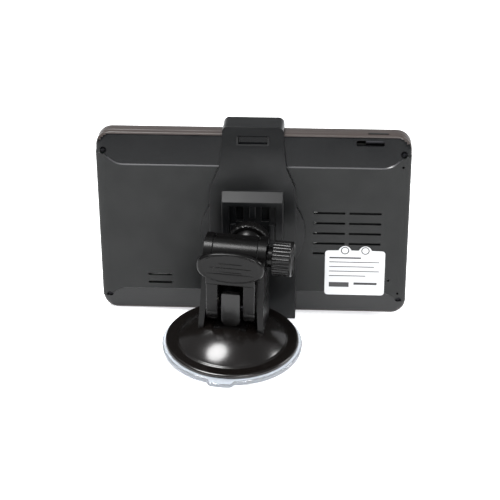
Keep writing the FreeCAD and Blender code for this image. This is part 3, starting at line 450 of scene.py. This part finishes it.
def build_rear_case(sizes):
    """The back shell: lip, polished bands, creased flat back, grilles and screw wells."""
    radius, step = sizes.corner_round / MM, sizes.crease_step / MM
    slots = [(45.2 + 21.4 * column, 10.2 - 6.7 * row, 19.0) for row in range(5) for column in range(2)]
    vents = [(-56.6, -33.0 - 5.4 * row, 14.4) for row in range(2)]
    holes = [(x - long / 2, x + long / 2, z - 0.7, z + 0.7) for x, z, long in slots + vents]

    edge = [0.0, 0.12, 0.35, 0.7, 1.2, 2.0, 3.2, 4.6, SIDE_ROUND]
    columns = {round(side * (HALF_W - inset), 3) for inset in edge for side in (-1, 1)}
    columns |= {round(-84 + 3 * index, 3) for index in range(57)}
    columns |= {round(side * (HALF_W - 17 + index * 0.9), 3) for index in range(14) for side in (-1, 1)}
    columns |= {round(value, 3) for low, high, _, _ in holes for value in (low, high)}
    columns = sorted(columns)

    def rows_at(u):
        top, low = crease_lines(u)
        outer = [HALF_T - inset for inset in reversed(edge[:7])]
        above = [top + 0.55 + (outer[0] - top - 0.55) * k / 5 for k in range(5)]
        below = [low - 0.55 - (outer[0] + low - 0.55) * k / 5 for k in range(5)]
        middle = sorted({value for _, _, low_v, high_v in holes for value in (low_v, high_v)})
        inner = sorted(middle + [-36.0, -26.0, 0.0, 16.0, 22.0, 28.0, 34.0])
        return ([-value for value in reversed(outer)] + list(reversed(below)) + [low - 0.15, low + 0.1, low + 0.5]
                + inner + [top - 0.5, top - 0.1, top + 0.15] + above + outer)

    def depth(u, v, rim):
        top, low = crease_lines(u)
        slope = (SEAM_Y - BAND_DEEP - BACK_Y - step) / (HALF_T - CREASE_UP)
        low_slope = (SEAM_Y - BAND_DEEP - BACK_Y - step) / (HALF_T - CREASE_DOWN)
        y = BACK_Y
        if v > top:
            y += min(1, (v - top) / 0.45) * (step + (v - CREASE_UP) * slope)
        elif v < low:
            y += min(1, (low - v) / 0.45) * (step + (-v - CREASE_DOWN) * low_slope)
        side = HALF_W - abs(u)
        if side < SIDE_ROUND:
            y += 1.9 * (1 - math.sqrt(max(0.0, 1 - (1 - side / SIDE_ROUND) ** 2)))
        if rim < 1.2:
            y += 1.0 * (1 - math.sqrt(max(0.0, 1 - (1 - rim / 1.2) ** 2)))
        return min(y, SEAM_Y - 2.2)

    vertices, faces, index = [], [], {}
    count = len(rows_at(0))
    for i, u in enumerate(columns):
        for j, v in enumerate(rows_at(u)):
            x, z, rim = case_outline_fit(u, v, HALF_W, HALF_T, radius)
            index[i, j] = len(vertices)
            vertices.append((x, depth(x, z, rim), z))

    def inside_hole(face_u, face_v):
        return any(low < face_u < high and low_v < face_v < high_v for low, high, low_v, high_v in holes)

    for i in range(len(columns) - 1):
        for j in range(count - 1):
            corner = [index[i, j], index[i + 1, j], index[i + 1, j + 1], index[i, j + 1]]
            middle_u = (columns[i] + columns[i + 1]) / 2
            middle_v = sum(vertices[k][2] for k in corner) / 4
            if not inside_hole(middle_u, middle_v):
                faces.append(tuple(corner))
    mesh = bpy.data.meshes.new("rear_case")
    mesh.from_pydata([Vector((x + MID.x, y, z + MID.z)) * MM for x, y, z in vertices], [], faces)
    shape = bmesh.new()
    shape.from_mesh(mesh)
    bmesh.ops.remove_doubles(shape, verts=shape.verts, dist=2e-5)
    bmesh.ops.dissolve_degenerate(shape, edges=shape.edges, dist=1e-5)
    bmesh.ops.delete(shape, geom=[item for item in shape.edges if item.is_wire], context="EDGES")

    def on_rim(vertex):
        at = vertex.co / MM - Vector((MID.x, 0, MID.z))
        return case_outline_fit(at.x, at.z, HALF_W, HALF_T, radius)[2] < 0.02

    rim_edges = [item for item in shape.edges if item.is_boundary and all(on_rim(v) for v in item.verts)]
    for level, inset in ((SEAM_Y - 0.35, 0.0), (SEAM_Y, 0.3)):
        grown = bmesh.ops.extrude_edge_only(shape, edges=rim_edges)["geom"]
        for vertex in [item for item in grown if isinstance(item, bmesh.types.BMVert)]:
            at = vertex.co / MM - Vector((MID.x, 0, MID.z))
            scale = 1 - inset / HALF_T
            vertex.co = Vector((at.x * scale + MID.x, level, at.z * scale + MID.z)) * MM
        rim_edges = [item for item in grown if isinstance(item, bmesh.types.BMEdge)]

    def inward(at):
        x, z = at.x / MM - MID.x, at.z / MM - MID.z
        far_x, far_z = max(0.0, abs(x) - HALF_W + 4), max(0.0, abs(z) - HALF_T + 4)
        x -= math.copysign(far_x * 0.375, x)
        z -= math.copysign(far_z * 0.375, z)
        deep = at.y / MM if at.y / MM > SEAM_Y - 0.4 else min(at.y / MM + 1.5, SEAM_Y - 0.5)
        return Vector((x + MID.x, deep, z + MID.z)) * MM

    walled(shape, inward)
    shape.to_mesh(mesh)
    shape.free()
    mesh.transform(HEAD)
    case = bpy.data.objects.new("rear_case", mesh)
    bpy.context.scene.collection.objects.link(case)
    wells = [(*cylinder(1.95, BACK_Y - 1, BACK_Y + 5.2), HEAD @ facing("y", (x, 0, z))) for x, z in screw_spots()]
    for x, z in ((87.7, 40.4), (87.4, -43.0), (81.5, -34.2)):
        wells.append((*cylinder(0.75, BACK_Y - 1, BACK_Y + 6, 20), HEAD @ facing("y", (MID.x + x, 0, MID.z + z))))
    port = rounded([(-8.2, -1.6), (8.2, -1.6), (8.2, 1.6), (-8.2, 1.6)], 1.2)
    wells.append((*drawn(port, [(BACK_Y - 1, 0), (BACK_Y + 5.4, 0)]),
                  HEAD @ facing("y", (MID.x + 68.3, 0, MID.z + HALF_T - 4.6))))
    slot = rounded([(-6.3, -0.7), (6.3, -0.7), (6.3, 0.7), (-6.3, 0.7)], 0.3)
    wells.append((*drawn(slot, [(-8, 0), (4, 0)]),
                  HEAD @ facing("z", (MID.x + 72.8, SEAM_Y - 1.0, MID.z + HALF_T))))
    carve(case, wells)
    dress(case, "navigator", "case_abs", ("back_shell",), 28)
    band = MATERIALS["band_gloss_and_shade"]()
    rim = MATERIALS["rim_paint"]()
    case.data.materials.append(band)
    case.data.materials.append(rim)
    case.data.materials.append(MATERIALS["crease_highlight_abs"]())
    back = HEAD.inverted()
    for face in case.data.polygons:
        at = (back @ face.center) / MM - Vector((MID.x, 0, MID.z))
        top, low = crease_lines(at.x)
        if at.y > SEAM_Y - 3.9:
            face.material_index = 2
        # the sloped bands take the darker material: their gloss is real, their darker colour is painted shade
        elif at.z > top + 0.42 or at.z < low - 0.42:
            face.material_index = 1
        # faces along each crease's shoulder take the paler material: a painted highlight
        elif at.z > top - 0.12 and at.y < BACK_Y + step + 0.4:
            face.material_index = 3
    return case


def build_rim(sizes):
    """The front half of the case: a rolled rim around the screen's window."""
    radius = sizes.corner_round / MM
    wall, window_w, window_t = 1.8, (PANEL_HIGH.x - PANEL_LOW.x) / 2 - 4, (PANEL_HIGH.z - PANEL_LOW.z) / 2 - 4
    deep = FRONT_Y - SEAM_Y
    levels = [(0.35, 0.0), (0.0, 0.35), (0.0, deep - 2.4), (0.2, deep - 1.35), (0.75, deep - 0.55),
              (1.5, deep - 0.12), (2.4, deep)]
    rings = [frame_loop(HALF_W - inset, HALF_T - inset, radius - inset * 0.8) for inset, _ in levels]
    heights = [height for _, height in levels]
    for half_w, half_t, corner, height in (
            (window_w + 1.0, window_t + 1.0, 2.2, deep - 0.2), (window_w + 0.35, window_t + 0.35, 1.6, deep - 0.5),
            (window_w, window_t, 1.4, deep - 1.1), (window_w, window_t, 1.4, deep - 2.1),
            (HALF_W - wall, HALF_T - wall, radius - wall, deep - 2.15),
            (HALF_W - wall, HALF_T - wall, radius - wall, 0.0)):
        rings.append(frame_loop(half_w, half_t, corner))
        heights.append(height)
    steps = len(rings[0])
    vertices = [(point.x + MID.x, SEAM_Y + height, point.y + MID.z)
                for ring, height in zip(rings, heights) for point in ring]
    mesh = bpy.data.meshes.new("screen_rim")
    mesh.from_pydata([Vector(v) * MM for v in vertices], [], tube_faces(len(rings), steps, closed_rings=True))
    mesh.transform(HEAD)
    rim = bpy.data.objects.new("screen_rim", mesh)
    bpy.context.scene.collection.objects.link(rim)
    shape = bmesh.new()
    shape.from_mesh(mesh)
    bmesh.ops.recalc_face_normals(shape, faces=shape.faces)
    shape.to_mesh(mesh)
    shape.free()
    cuts = []
    for node, grow, corner in (("usb_socket", 0.25, 0.5), ("power_button", 0.12, 1.1)):
        low, high = span(node)
        middle_y, middle_z = (low.y + high.y) / 2, (low.z + high.z) / 2
        half_y, half_z = (high.y - low.y) / 2 + grow, (high.z - low.z) / 2 + grow
        if node == "power_button":
            middle_y -= 0.1
            half_y, half_z = 1.3 + grow, 4.0 + grow
        outline = rounded([(-half_y, -half_z), (half_y, -half_z), (half_y, half_z), (-half_y, half_z)], corner)
        cuts.append((*drawn(outline, [(-1.5, 0), (3.2, 0)]), HEAD @ facing("x", (SHELL_LOW.x, middle_y, middle_z))))
    low, high = span("earphone_socket")
    phone_at = (SHELL_LOW.x, (low.y + high.y) / 2, (low.z + high.z) / 2)
    cuts.append((*cylinder(2.45, -1.5, 3.2, 32), HEAD @ facing("x", phone_at)))
    carve(rim, cuts)
    return dress(rim, "navigator", "rim_paint", ("front_bezel",), 32)


def build_case_fittings(sizes):
    """Corner screws, label and button."""
    low, _ = span("case_screws")
    screws = []
    for x, z in screw_spots():
        head = lathe([(0.35, 0.55), (0.8, 0.5), (1.25, 0.28), (1.62, 0.12), (1.7, 0.32), (1.7, 1.0), (0.9, 1.0),
                      (0.9, 8.6), (0.6, 8.8)], 40)
        screws.append((*head, facing("y", (x, low.y, z))))
        cross = rounded([(0.22, -0.85), (0.22, -0.22), (0.85, -0.22), (0.85, 0.22), (0.22, 0.22), (0.22, 0.85),
                         (-0.22, 0.85), (-0.22, 0.22), (-0.85, 0.22), (-0.85, -0.22), (-0.22, -0.22),
                         (-0.22, -0.85)], 0.05, 1)
        screws.append((*drawn(cross, [(0.08, 0), (0.3, 0)]), facing("y", (x, low.y, z))))
    piece("corner_screws", *merged(screws), HEAD, "navigator", "zinc_steel", "black_steel", ("case_screws",), 30)

    low, high = span("rating_label")
    body_top = high.z - 3.3
    centre_x = (low.x + high.x) / 2
    outline = [Vector((x, z)) for x, z in ((low.x, low.z), (high.x, low.z), (high.x, body_top))]
    for bump in (6.1, -6.1):
        for k in range(13):
            angle = math.pi * (0.12 + 0.76 * k / 12)
            outline.append(Vector((centre_x + bump + 4.1 * math.cos(angle),
                                   body_top - 1.5 + 4.7 * math.sin(angle))))
    outline.append(Vector((low.x, body_top)))
    soft = rounded([tuple(point) for point in outline[:2]] + [(high.x, body_top)]
                   + [(*point, 0.3) for point in outline[3:-1]] + [(low.x, body_top)], 2.2, 4)
    film = (*drawn(soft, [(low.y, 0.1), (low.y + 0.03, 0), (high.y - 0.01, 0)]), facing("y"))
    piece("rating_label_film", *merged([film]), HEAD,
          "navigator", "label_paper", "label_film", ("rating_label",), 30)
    bars = []
    for row, (start, long, tall) in enumerate(((2.6, 19, 1.0), (2.6, 30, 0.55), (2.6, 27, 0.55), (2.6, 30, 0.55),
                                               (2.6, 22, 0.55), (2.6, 12, 3.2), (17.5, 14, 1.6))):
        z = body_top - 4.2 - min(row, 5) * 3.1 - (1.6 if row >= 5 else 0)
        block = rounded([(start, z - tall), (start + long, z - tall), (start + long, z), (start, z)], 0.12, 2)
        bars.append((*drawn(block, [(low.y + 0.01, 0), (low.y - 0.012, 0)]), facing("y", (low.x, 0, 0))))
    for bump in (6.1, -6.1):
        ring = lathe([(2.5, low.y + 0.01), (2.5, low.y - 0.012), (1.9, low.y - 0.012), (1.9, low.y + 0.01)], 40,
                     True)
        bars.append((*ring, facing("y", (centre_x + bump, 0, body_top + 0.2))))
    piece("label_marks", *merged(bars), HEAD, "navigator", "label_paper", "label_print", (), 30)

    low, high = span("power_button")
    block = rounded([(-1.25, -3.95), (1.25, -3.95), (1.25, 3.95), (-1.25, 3.95)], 1.1, 6)
    cap = (*drawn(block, soft_levels(0.0, high.x - low.x - 2.7, 0.35)),
           facing("x", (low.x, (low.y + high.y) / 2 - 0.1, (low.z + high.z) / 2)))
    stem = rounded([(-0.6, -0.8), (0.6, -0.8), (0.6, 0.8), (-0.6, 0.8)], 0.2, 3)
    tail = (*drawn(stem, [(high.x - low.x - 2.9, 0), (high.x - low.x, 0)]), cap[2])
    piece("power_key", *merged([cap, tail]), HEAD, "button",
          "cradle_plastic", "knob_abs", ("power_button",), 30)


# ------------------------------------------------------------------ cradle and claw
def build_cradle(sizes):
    """The strap behind the case with its end hooks, thumb tab and claw housing."""
    edge = sizes.mould_edge / MM
    cradle = eased("cradle", "cradle_body", "cradle", "cradle_nylon", edge, 3, 25)
    _, high = span("cradle")
    ribs = []
    for row in range(4):
        bar = rounded([(-11.5, -0.32), (11.5, -0.32), (11.5, 0.32), (-11.5, 0.32)], 0.3, 3)
        ribs.append((*drawn(bar, soft_levels(-0.25, 0.3, 0.12)),
                     facing("z", (MID.x, high.y - 9.2 + row * 2.0, high.z - 0.32))))
    lip = rounded([(-9.6, 0.0), (9.6, 0.0), (9.6, 5.4), (8.5, 5.4), (8.5, 1.0), (-8.5, 1.0), (-8.5, 5.4),
                   (-9.6, 5.4)], 0.25, 3)
    ribs.append((*drawn(lip, soft_levels(-0.35, 0.4, 0.15)),
                 facing("y", (MID.x, SEAM_Y - 3.7 - 3.3, MID.z + HALF_T - 6.1))))
    piece("thumb_ribs", *merged(ribs), HEAD, "cradle", "cradle_plastic", "cradle_nylon", (), 30)
    eased("claw_plate", "claw_body", "claw", "cradle_nylon", 0.28, 2, 25)
    eased("claw_catch", "claw_catch_grey", "claw", "clip_acetal", 0.3, 2, 25)
    return cradle


# ------------------------------------------------------------------ arm, neck and knob
def ridged(radius, length, ridges, depth, edge, bore=2.7, steps_per=8):
    """A grip turned about z with ridges along it and eased ends."""
    steps = ridges * steps_per
    levels = [(0.0, 1.0, 0.0), (0.0, edge + 0.4, 0.0), (edge * 0.5, 0.25 * edge, 0.3), (edge, 0.0, 1.0),
              (length - edge - 1.0, 0.0, 1.0), (length - edge - 0.6, 0.0, 0.0), (length - edge, 0.0, 0.0),
              (length - edge * 0.4, 0.3 * edge, 0.0), (length, edge, 0.0), (length, 1.5 * edge, 0.0),
              (length - 0.5, 1.9 * edge, 0.0), (length - 0.5, radius - bore - 1.2, 0.0)]
    vertices = []
    for height, inset, cut in levels:
        for step in range(steps):
            phase = (step % steps_per) / steps_per
            groove = depth * cut * (0.5 + 0.5 * math.cos(math.tau * phase)) ** 2
            size = radius - inset - groove
            angle = math.tau * step / steps
            vertices.append((size * math.cos(angle), size * math.sin(angle), height))
    return vertices, tube_faces(len(levels), steps)


def build_arm(sizes):
    """The forked arm on the cup, the neck between its ears and the knob."""
    edge = sizes.mould_edge / MM
    eased("arm", "fork_arm", "cup", "arm_acetal", edge, 3, 28)
    eased("neck", "ball_neck", "neck", "arm_acetal", edge * 0.8, 3, 28)
    eased("knob_spacer", "spacer_ring", "cup", "arm_acetal", 0.3, 2)
    low, high = span("clamp_knob", WORLD)
    radius = (high.z - low.z) / 2
    knob_at = facing("x", (low.x, (low.y + high.y) / 2, (low.z + high.z) / 2))
    piece("grip_knob", *ridged(radius, high.x - low.x, sizes.knob_ridges, 0.55, 0.7), knob_at, "knob",
          "knob_plastic", "knob_abs", ("clamp_knob",), 35)
    eased("clamp_collar", "ball_collar", "collar", "knob_abs", 0.25, 2, 30)
    low, high = span("arm_tongue", WORLD)
    half = (high.x - low.x) / 2
    plate = rounded([(-half, low.z, 4.5), (half, low.z, 4.5), (half, high.z, 1.5), (-half, high.z, 1.5)], 4.5, 8)
    piece("tongue_plate", *drawn(plate, soft_levels(low.y, high.y, 0.6)), facing("y"), "cup", "clip_grey",
          "tongue_acetal", ("arm_tongue",), 30)


# ------------------------------------------------------------------ cup, pad and lever
def build_cup(sizes):
    """The polished cap and the clear pad under it."""
    low, high = span("cup_dome", WORLD)
    rim, ball, apex = high.x, 49.0, 17.5
    dome = [(radius, math.sqrt(ball ** 2 - radius ** 2) - ball + apex)
            for radius in (3, 6, 9, 12, 15, 18, 20.5, 23, 25.2, 27.2, 29, 30.4, 31.3)]
    under = [(radius, math.sqrt((ball - 2.2) ** 2 - radius ** 2) - ball + apex)
             for radius in (28.6, 24, 18, 12, 6, 3)]
    step = low.z + 2.4
    profile = dome + [(31.9, step + 0.35), (32.6, step + 0.05), (33.8, step), (rim - 1.7, step - 0.02),
                      (rim - 0.7, step - 0.25), (rim - 0.12, step - 0.85), (rim, low.z + 0.45), (rim - 0.3, low.z),
                      (29.6, low.z)] + under
    fine = smooth_profile(profile)
    piece("cup_cap", *lathe(fine, 144, True), WORLD, "cup", "cup_plastic", "cup_polycarbonate", ("cup_dome",), 50)
    low, high = span("suction_pad", WORLD)
    radius = high.x
    tab = -low.y
    steps, rings = 160, []
    for scale, height in ((0.0, 1.1), (0.5, 1.1), (0.76, 1.0), (0.86, 0.15), (0.93, 0.0), (0.985, 0.0), (1.0, 0.35),
                          (1.003, 1.4), (1.0, 2.3), (0.988, 2.95), (0.965, 3.1), (0.7, 3.1), (0.28, 3.1),
                          (0.245, 3.3), (0.243, 8.4), (0.235, 8.8), (0.08, 8.8), (0.08, 7.9)):
        rings.append([(radius * 0.998 * scale, height)] * steps)
    vertices = []
    for ring in rings:
        for step in range(steps):
            angle = math.tau * step / steps
            size, height = ring[step]
            away = (angle + math.pi / 2 + math.pi) % math.tau - math.pi
            reach = 1 - smooth_step(0.150, 0.185, abs(away))
            grown = size
            if size > radius * 0.9:
                grown = size + (tab - radius) * reach
                if abs(away) < 0.2 and reach > 0:
                    grown = min(grown, tab / math.cos(away) * 1.0)
                height = height * (1 - 0.25 * reach) + 0.35 * reach
            vertices.append((grown * math.cos(angle), grown * math.sin(angle), height))
    piece("clear_pad", vertices, tube_faces(len(rings), steps), WORLD, "cup", "clear_pad", "pad_polyurethane",
          ("suction_pad",), 50)


def smooth_step(low, high, value):
    t = max(0.0, min(1.0, (value - low) / (high - low)))
    return t * t * (3 - 2 * t)


def smooth_profile(profile, steps=4):
    """A closed half section through the given points, eased between them."""
    made = []
    count = len(profile)
    for index in range(count):
        p0, p1, p2, p3 = (Vector(profile[(index + k) % count]) for k in (-1, 0, 1, 2))
        long = (p2 - p1).length
        if long > 6 or (p1 - p0).length > 6 or (p3 - p2).length > 6:
            made.append(p1)
            continue
        for step in range(steps):
            t = step / steps
            spot = 0.5 * ((2 * p1) + (p2 - p0) * t + (2 * p0 - 5 * p1 + 4 * p2 - p3) * t ** 2
                          + (3 * p1 - p0 - 3 * p2 + p3) * t ** 3)
            made.append(spot)
    return [(max(point.x, 3.0), point.y) for point in made]


def build_lever(sizes):
    """The locking lever: two legs from the pin, a cross bar and an oval thumb paddle."""
    low, high = span("lock_lever", WORLD)
    pivot = Vector(joint("lever_hinge")["pos_m"]) / MM
    half, leg_wide = 14.0, 6.7
    parts = []
    for side in (-1, 1):
        heel = [(7.5 * math.cos(math.radians(angle)), 7.5 * math.sin(math.radians(angle)))
                for angle in range(70, -181, -10)]
        leg = heel + rounded([(-8.1, 1.0, 0.5), (-8.2, 25.5, 1), (-3.5, 24.5, 1), (-3.4, 10.5, 3),
                              (0.6, 7.9, 3)], 1, 5)
        leg = [Vector((point[0], point[1] + pivot.z)) for point in leg]
        start = -half if side < 0 else half - leg_wide
        parts.append((*drawn(leg, soft_levels(0, leg_wide, 0.8)), facing("x", (start, 0, 0))))
    bar = rounded([(-9.4, high.z - 21.2, 1), (-4.6, high.z - 21.2, 1.4), (-5.0, high.z - 13, 1.4),
                   (-9.4, high.z - 13, 1)], 1, 4)
    parts.append((*drawn(bar, soft_levels(0, 28, 0.6)), facing("x", (-half, 0, 0))))
    piece("lever_frame", *merged(parts), WORLD, "lever", "arm_plastic", "arm_acetal", ("lock_lever",), 35)
    wide, tall = (high.x - low.x) / 2, sizes.paddle_tall / MM / 2
    levels = [(0.0, 0.90), (0.25, 0.955), (0.8, 0.995), (1.6, 1.0), (2.6, 0.99), (3.2, 0.965), (3.55, 0.93),
              (3.6, 0.885), (3.35, 0.86), (3.3, 0.80), (3.15, 0.55), (3.1, 0.25), (3.08, 0.02)]
    steps = 96
    vertices = []
    middle = high.z - tall - 0.05
    for height, scale in levels:
        for step in range(steps):
            angle = math.tau * step / steps
            power = 2 / 2.35
            c, s = math.cos(angle), math.sin(angle)
            x = wide * scale * math.copysign(abs(c) ** power, c)
            z = tall * scale * math.copysign(abs(s) ** power, s)
            vertices.append((x, -6.0 - height, middle + z))
    piece("lever_paddle", vertices, tube_faces(len(levels), steps), WORLD, "lever", "arm_plastic", "arm_acetal",
          (), 40)
    grips = []
    for row in (-1, 0, 1):
        z = row * 2.7
        long = wide * (0.34 if row else 0.62)
        bar = rounded([(-long, -0.22), (long, -0.22), (long, 0.22), (-long, 0.22)], 0.2, 3)
        grips.append((*drawn(bar, soft_levels(-9.42, -9.1, 0.08)), facing("y", (0, 0, middle + z))))
    piece("paddle_grips", *merged(grips), WORLD, "lever", "arm_plastic", "arm_acetal", (), 40)


# ------------------------------------------------------------------ what stays as packed
INSIDE = {
    "touch_panel": "screen_glass", "panel_gasket": "foam_black", "lcd_module": "display_alu",
    "lcd_tray": "tin_plate", "main_board": "board_mask", "shield_can": "tin_plate", "board_chips": "epoxy_black",
    "gps_antenna": "patch_ceramic", "battery": "battery_foil", "speaker": "speaker_cloth",
    "display_flex": "polyimide", "side_board": "board_mask", "side_cable": "polyimide",
    "card_socket": "black_nickel", "memory_card": "epoxy_black", "usb_socket": "black_nickel",
    "earphone_socket": "epoxy_black", "power_switch": "epoxy_black", "ball_stud": "bright_steel",
    "stud_retainer": "bright_steel", "ball_race": "acetal_natural", "hinge_bolt": "bright_steel",
    "hinge_nut": "zinc_steel", "friction_washers": "foam_black", "rod_anchor": "bright_steel",
    "pull_rod": "acetal_natural", "release_spring": "bright_steel", "base_screws": "zinc_steel",
    "lever_pin": "black_steel",
}


def finish_packed_nodes():
    """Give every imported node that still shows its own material."""
    for name, material in INSIDE.items():
        mesh = frame["nodes"][name].data
        mesh.materials.clear()
        mesh.materials.append(MATERIALS[material]())


# ------------------------------------------------------------------ stage
def build_stage(sizes):
    """A pale floor that the cup's rim and the cradle's foot both rest on, lights and camera."""
    pad_low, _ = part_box("suction_pad")
    foot = min((vertex.co for vertex in frame["nodes"]["cradle"].data.vertices), key=lambda co: co.z)
    slope = math.atan2(pad_low.z - foot.z, foot.y - pad_low.y)
    turn = Matrix.Translation((0, pad_low.y, pad_low.z - 0.0004)) @ Matrix.Rotation(-slope, 4, "X")
    size, steps = 1.6, 24
    vertices, faces = [], []
    for i in range(steps + 1):
        for j in range(steps + 1):
            x, y = size * (i / steps - 0.5) * 2, size * (j / steps - 0.5) * 2
            rise = max(0.0, y - 0.9) ** 2 * 0.5
            vertices.append(turn @ Vector((x, y, rise)))
    for i in range(steps):
        for j in range(steps):
            a = i * (steps + 1) + j
            faces.append((a, a + steps + 1, a + steps + 2, a + 1))
    mesh = bpy.data.meshes.new("floor")
    mesh.from_pydata(vertices, [], faces)
    mesh.shade_smooth()
    mesh.materials.append(MATERIALS["backdrop"]())
    floor = bpy.data.objects.new("floor", mesh)
    bpy.context.scene.collection.objects.link(floor)

    world = bpy.data.worlds.new("studio")
    world.use_nodes = True
    world.node_tree.nodes["Background"].inputs["Color"].default_value = linear("#f4f6f8")
    world.node_tree.nodes["Background"].inputs["Strength"].default_value = sizes.sky
    bpy.context.scene.world = world
    lamps = (("key_softbox", (-0.35, -0.1, 1.05), (0.0, 0.03, 0.05), 0.5, 17.0),
             ("front_softbox", (0.45, -0.75, 0.85), (0.0, 0.03, 0.05), 0.4, 8.0),
             ("side_softbox", (1.0, 0.35, 0.6), (0.0, 0.03, 0.05), 0.4, 6.0))
    for name, place, aim, wide, watts in lamps:
        data = bpy.data.lights.new(name, "AREA")
        data.shape = "DISK"
        data.size = wide
        data.energy = watts
        lamp = bpy.data.objects.new(name, data)
        lamp.location = place
        lamp.rotation_euler = (Vector(aim) - Vector(place)).to_track_quat("-Z", "Y").to_euler()
        bpy.context.scene.collection.objects.link(lamp)

    right = Vector((0.98806884, 0.15364127, 0.01069268))
    up = Vector((-0.08818313, 0.50745295, 0.85715532))
    back = right.cross(up)
    data = bpy.data.cameras.new("studio_camera")
    data.sensor_width = 36.0
    data.lens = sizes.lens
    data.clip_start = 0.05
    data.dof.use_dof = False
    camera = bpy.data.objects.new("studio_camera", data)
    camera.matrix_world = (Matrix.Translation((0.11640678, -0.71502636, 0.50002975))
                           @ Matrix((right, up, back)).transposed().to_4x4())
    bpy.context.scene.collection.objects.link(camera)
    bpy.context.scene.camera = camera
    bpy.context.scene.view_settings.view_transform = "Standard"


# ------------------------------------------------------------------ add-on
class NavigatorSizes(bpy.types.PropertyGroup):
    """Sizes of the case, cradle, arm and stage that a user may change."""
    corner_round: bpy.props.FloatProperty(
        name="Case corner", description="Radius of the case's corners", default=9.0 * MM, min=2 * MM, max=20 * MM,
        unit="LENGTH")
    crease_step: bpy.props.FloatProperty(
        name="Crease step", description="How far the flat back stands proud of its bands", default=0.45 * MM,
        min=0.1 * MM, max=1.5 * MM, unit="LENGTH")
    mould_edge: bpy.props.FloatProperty(
        name="Moulded edge", description="Rounding of moulded edges", default=0.45 * MM, min=0.05 * MM, max=1 * MM,
        unit="LENGTH")
    knob_ridges: bpy.props.IntProperty(
        name="Knob ridges", description="Ridges around the clamp knob", default=24, min=8, max=60)
    paddle_tall: bpy.props.FloatProperty(
        name="Paddle height", description="Height of the lever's oval paddle", default=19.4 * MM, min=10 * MM,
        max=19.6 * MM, unit="LENGTH")
    lens: bpy.props.FloatProperty(
        name="Lens", description="Focal length of the studio camera in millimetres", default=107.836, min=20,
        max=300)
    sky: bpy.props.FloatProperty(
        name="Sky", description="Strength of the white surroundings", default=0.42, min=0.1, max=4.0)


class BuildStep(bpy.types.Operator):
    """Shared base of the navigator's build steps"""
    bl_idname = "navigator.build_step"
    bl_label = "Build step"
    steps = ()

    def execute(self, context):
        for step in self.steps:
            step(context.scene.navigator_sizes)
        return {"FINISHED"}


class NAVIGATOR_OT_case(BuildStep):
    """Build the rear case, the rim and the case's fittings"""
    bl_idname = "navigator.case"
    bl_label = "Navigator case"
    steps = (build_rear_case, build_rim, build_case_fittings)


class NAVIGATOR_OT_cradle(BuildStep):
    """Build the cradle and its claw plate"""
    bl_idname = "navigator.cradle"
    bl_label = "Cradle"
    steps = (build_cradle,)


class NAVIGATOR_OT_arm(BuildStep):
    """Build the arm, the neck and the knob"""
    bl_idname = "navigator.arm"
    bl_label = "Arm and knob"
    steps = (build_arm,)


class NAVIGATOR_OT_cup(BuildStep):
    """Build the suction cup and its pad"""
    bl_idname = "navigator.cup"
    bl_label = "Suction cup"
    steps = (build_cup,)


class NAVIGATOR_OT_lever(BuildStep):
    """Build the locking lever"""
    bl_idname = "navigator.lever"
    bl_label = "Lever"
    steps = (build_lever,)


class NAVIGATOR_OT_hardware(bpy.types.Operator):
    """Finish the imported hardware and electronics"""
    bl_idname = "navigator.hardware"
    bl_label = "Hardware and electronics"

    def execute(self, context):
        finish_packed_nodes()
        return {"FINISHED"}


class NAVIGATOR_OT_stage(BuildStep):
    """Build the floor, the lights and the camera"""
    bl_idname = "navigator.stage"
    bl_label = "Stage"
    steps = (build_stage,)


class NAVIGATOR_PT_panel(bpy.types.Panel):
    """Lists the build steps in the sidebar"""
    bl_idname = "NAVIGATOR_PT_panel"
    bl_label = "Navigator"
    bl_space_type = "VIEW_3D"
    bl_region_type = "UI"
    bl_category = "Navigator"

    def draw(self, context):
        column = self.layout.column()
        for name in NavigatorSizes.__annotations__:
            column.prop(context.scene.navigator_sizes, name)
        for step in OPERATORS:
            column.operator(step.bl_idname)


OPERATORS = (NAVIGATOR_OT_stage, NAVIGATOR_OT_case, NAVIGATOR_OT_cradle, NAVIGATOR_OT_arm, NAVIGATOR_OT_cup,
             NAVIGATOR_OT_lever, NAVIGATOR_OT_hardware)
CLASSES = (NavigatorSizes, *OPERATORS, NAVIGATOR_PT_panel)


def register():
    for item in CLASSES:
        bpy.utils.register_class(item)
    bpy.types.Scene.navigator_sizes = bpy.props.PointerProperty(type=NavigatorSizes)


def unregister():
    del bpy.types.Scene.navigator_sizes
    for item in reversed(CLASSES):
        bpy.utils.unregister_class(item)


def main():
    register()
    for item in OPERATORS:
        group, name = item.bl_idname.split(".")
        getattr(getattr(bpy.ops, group), name)()


if __name__ == "__main__":
    main()
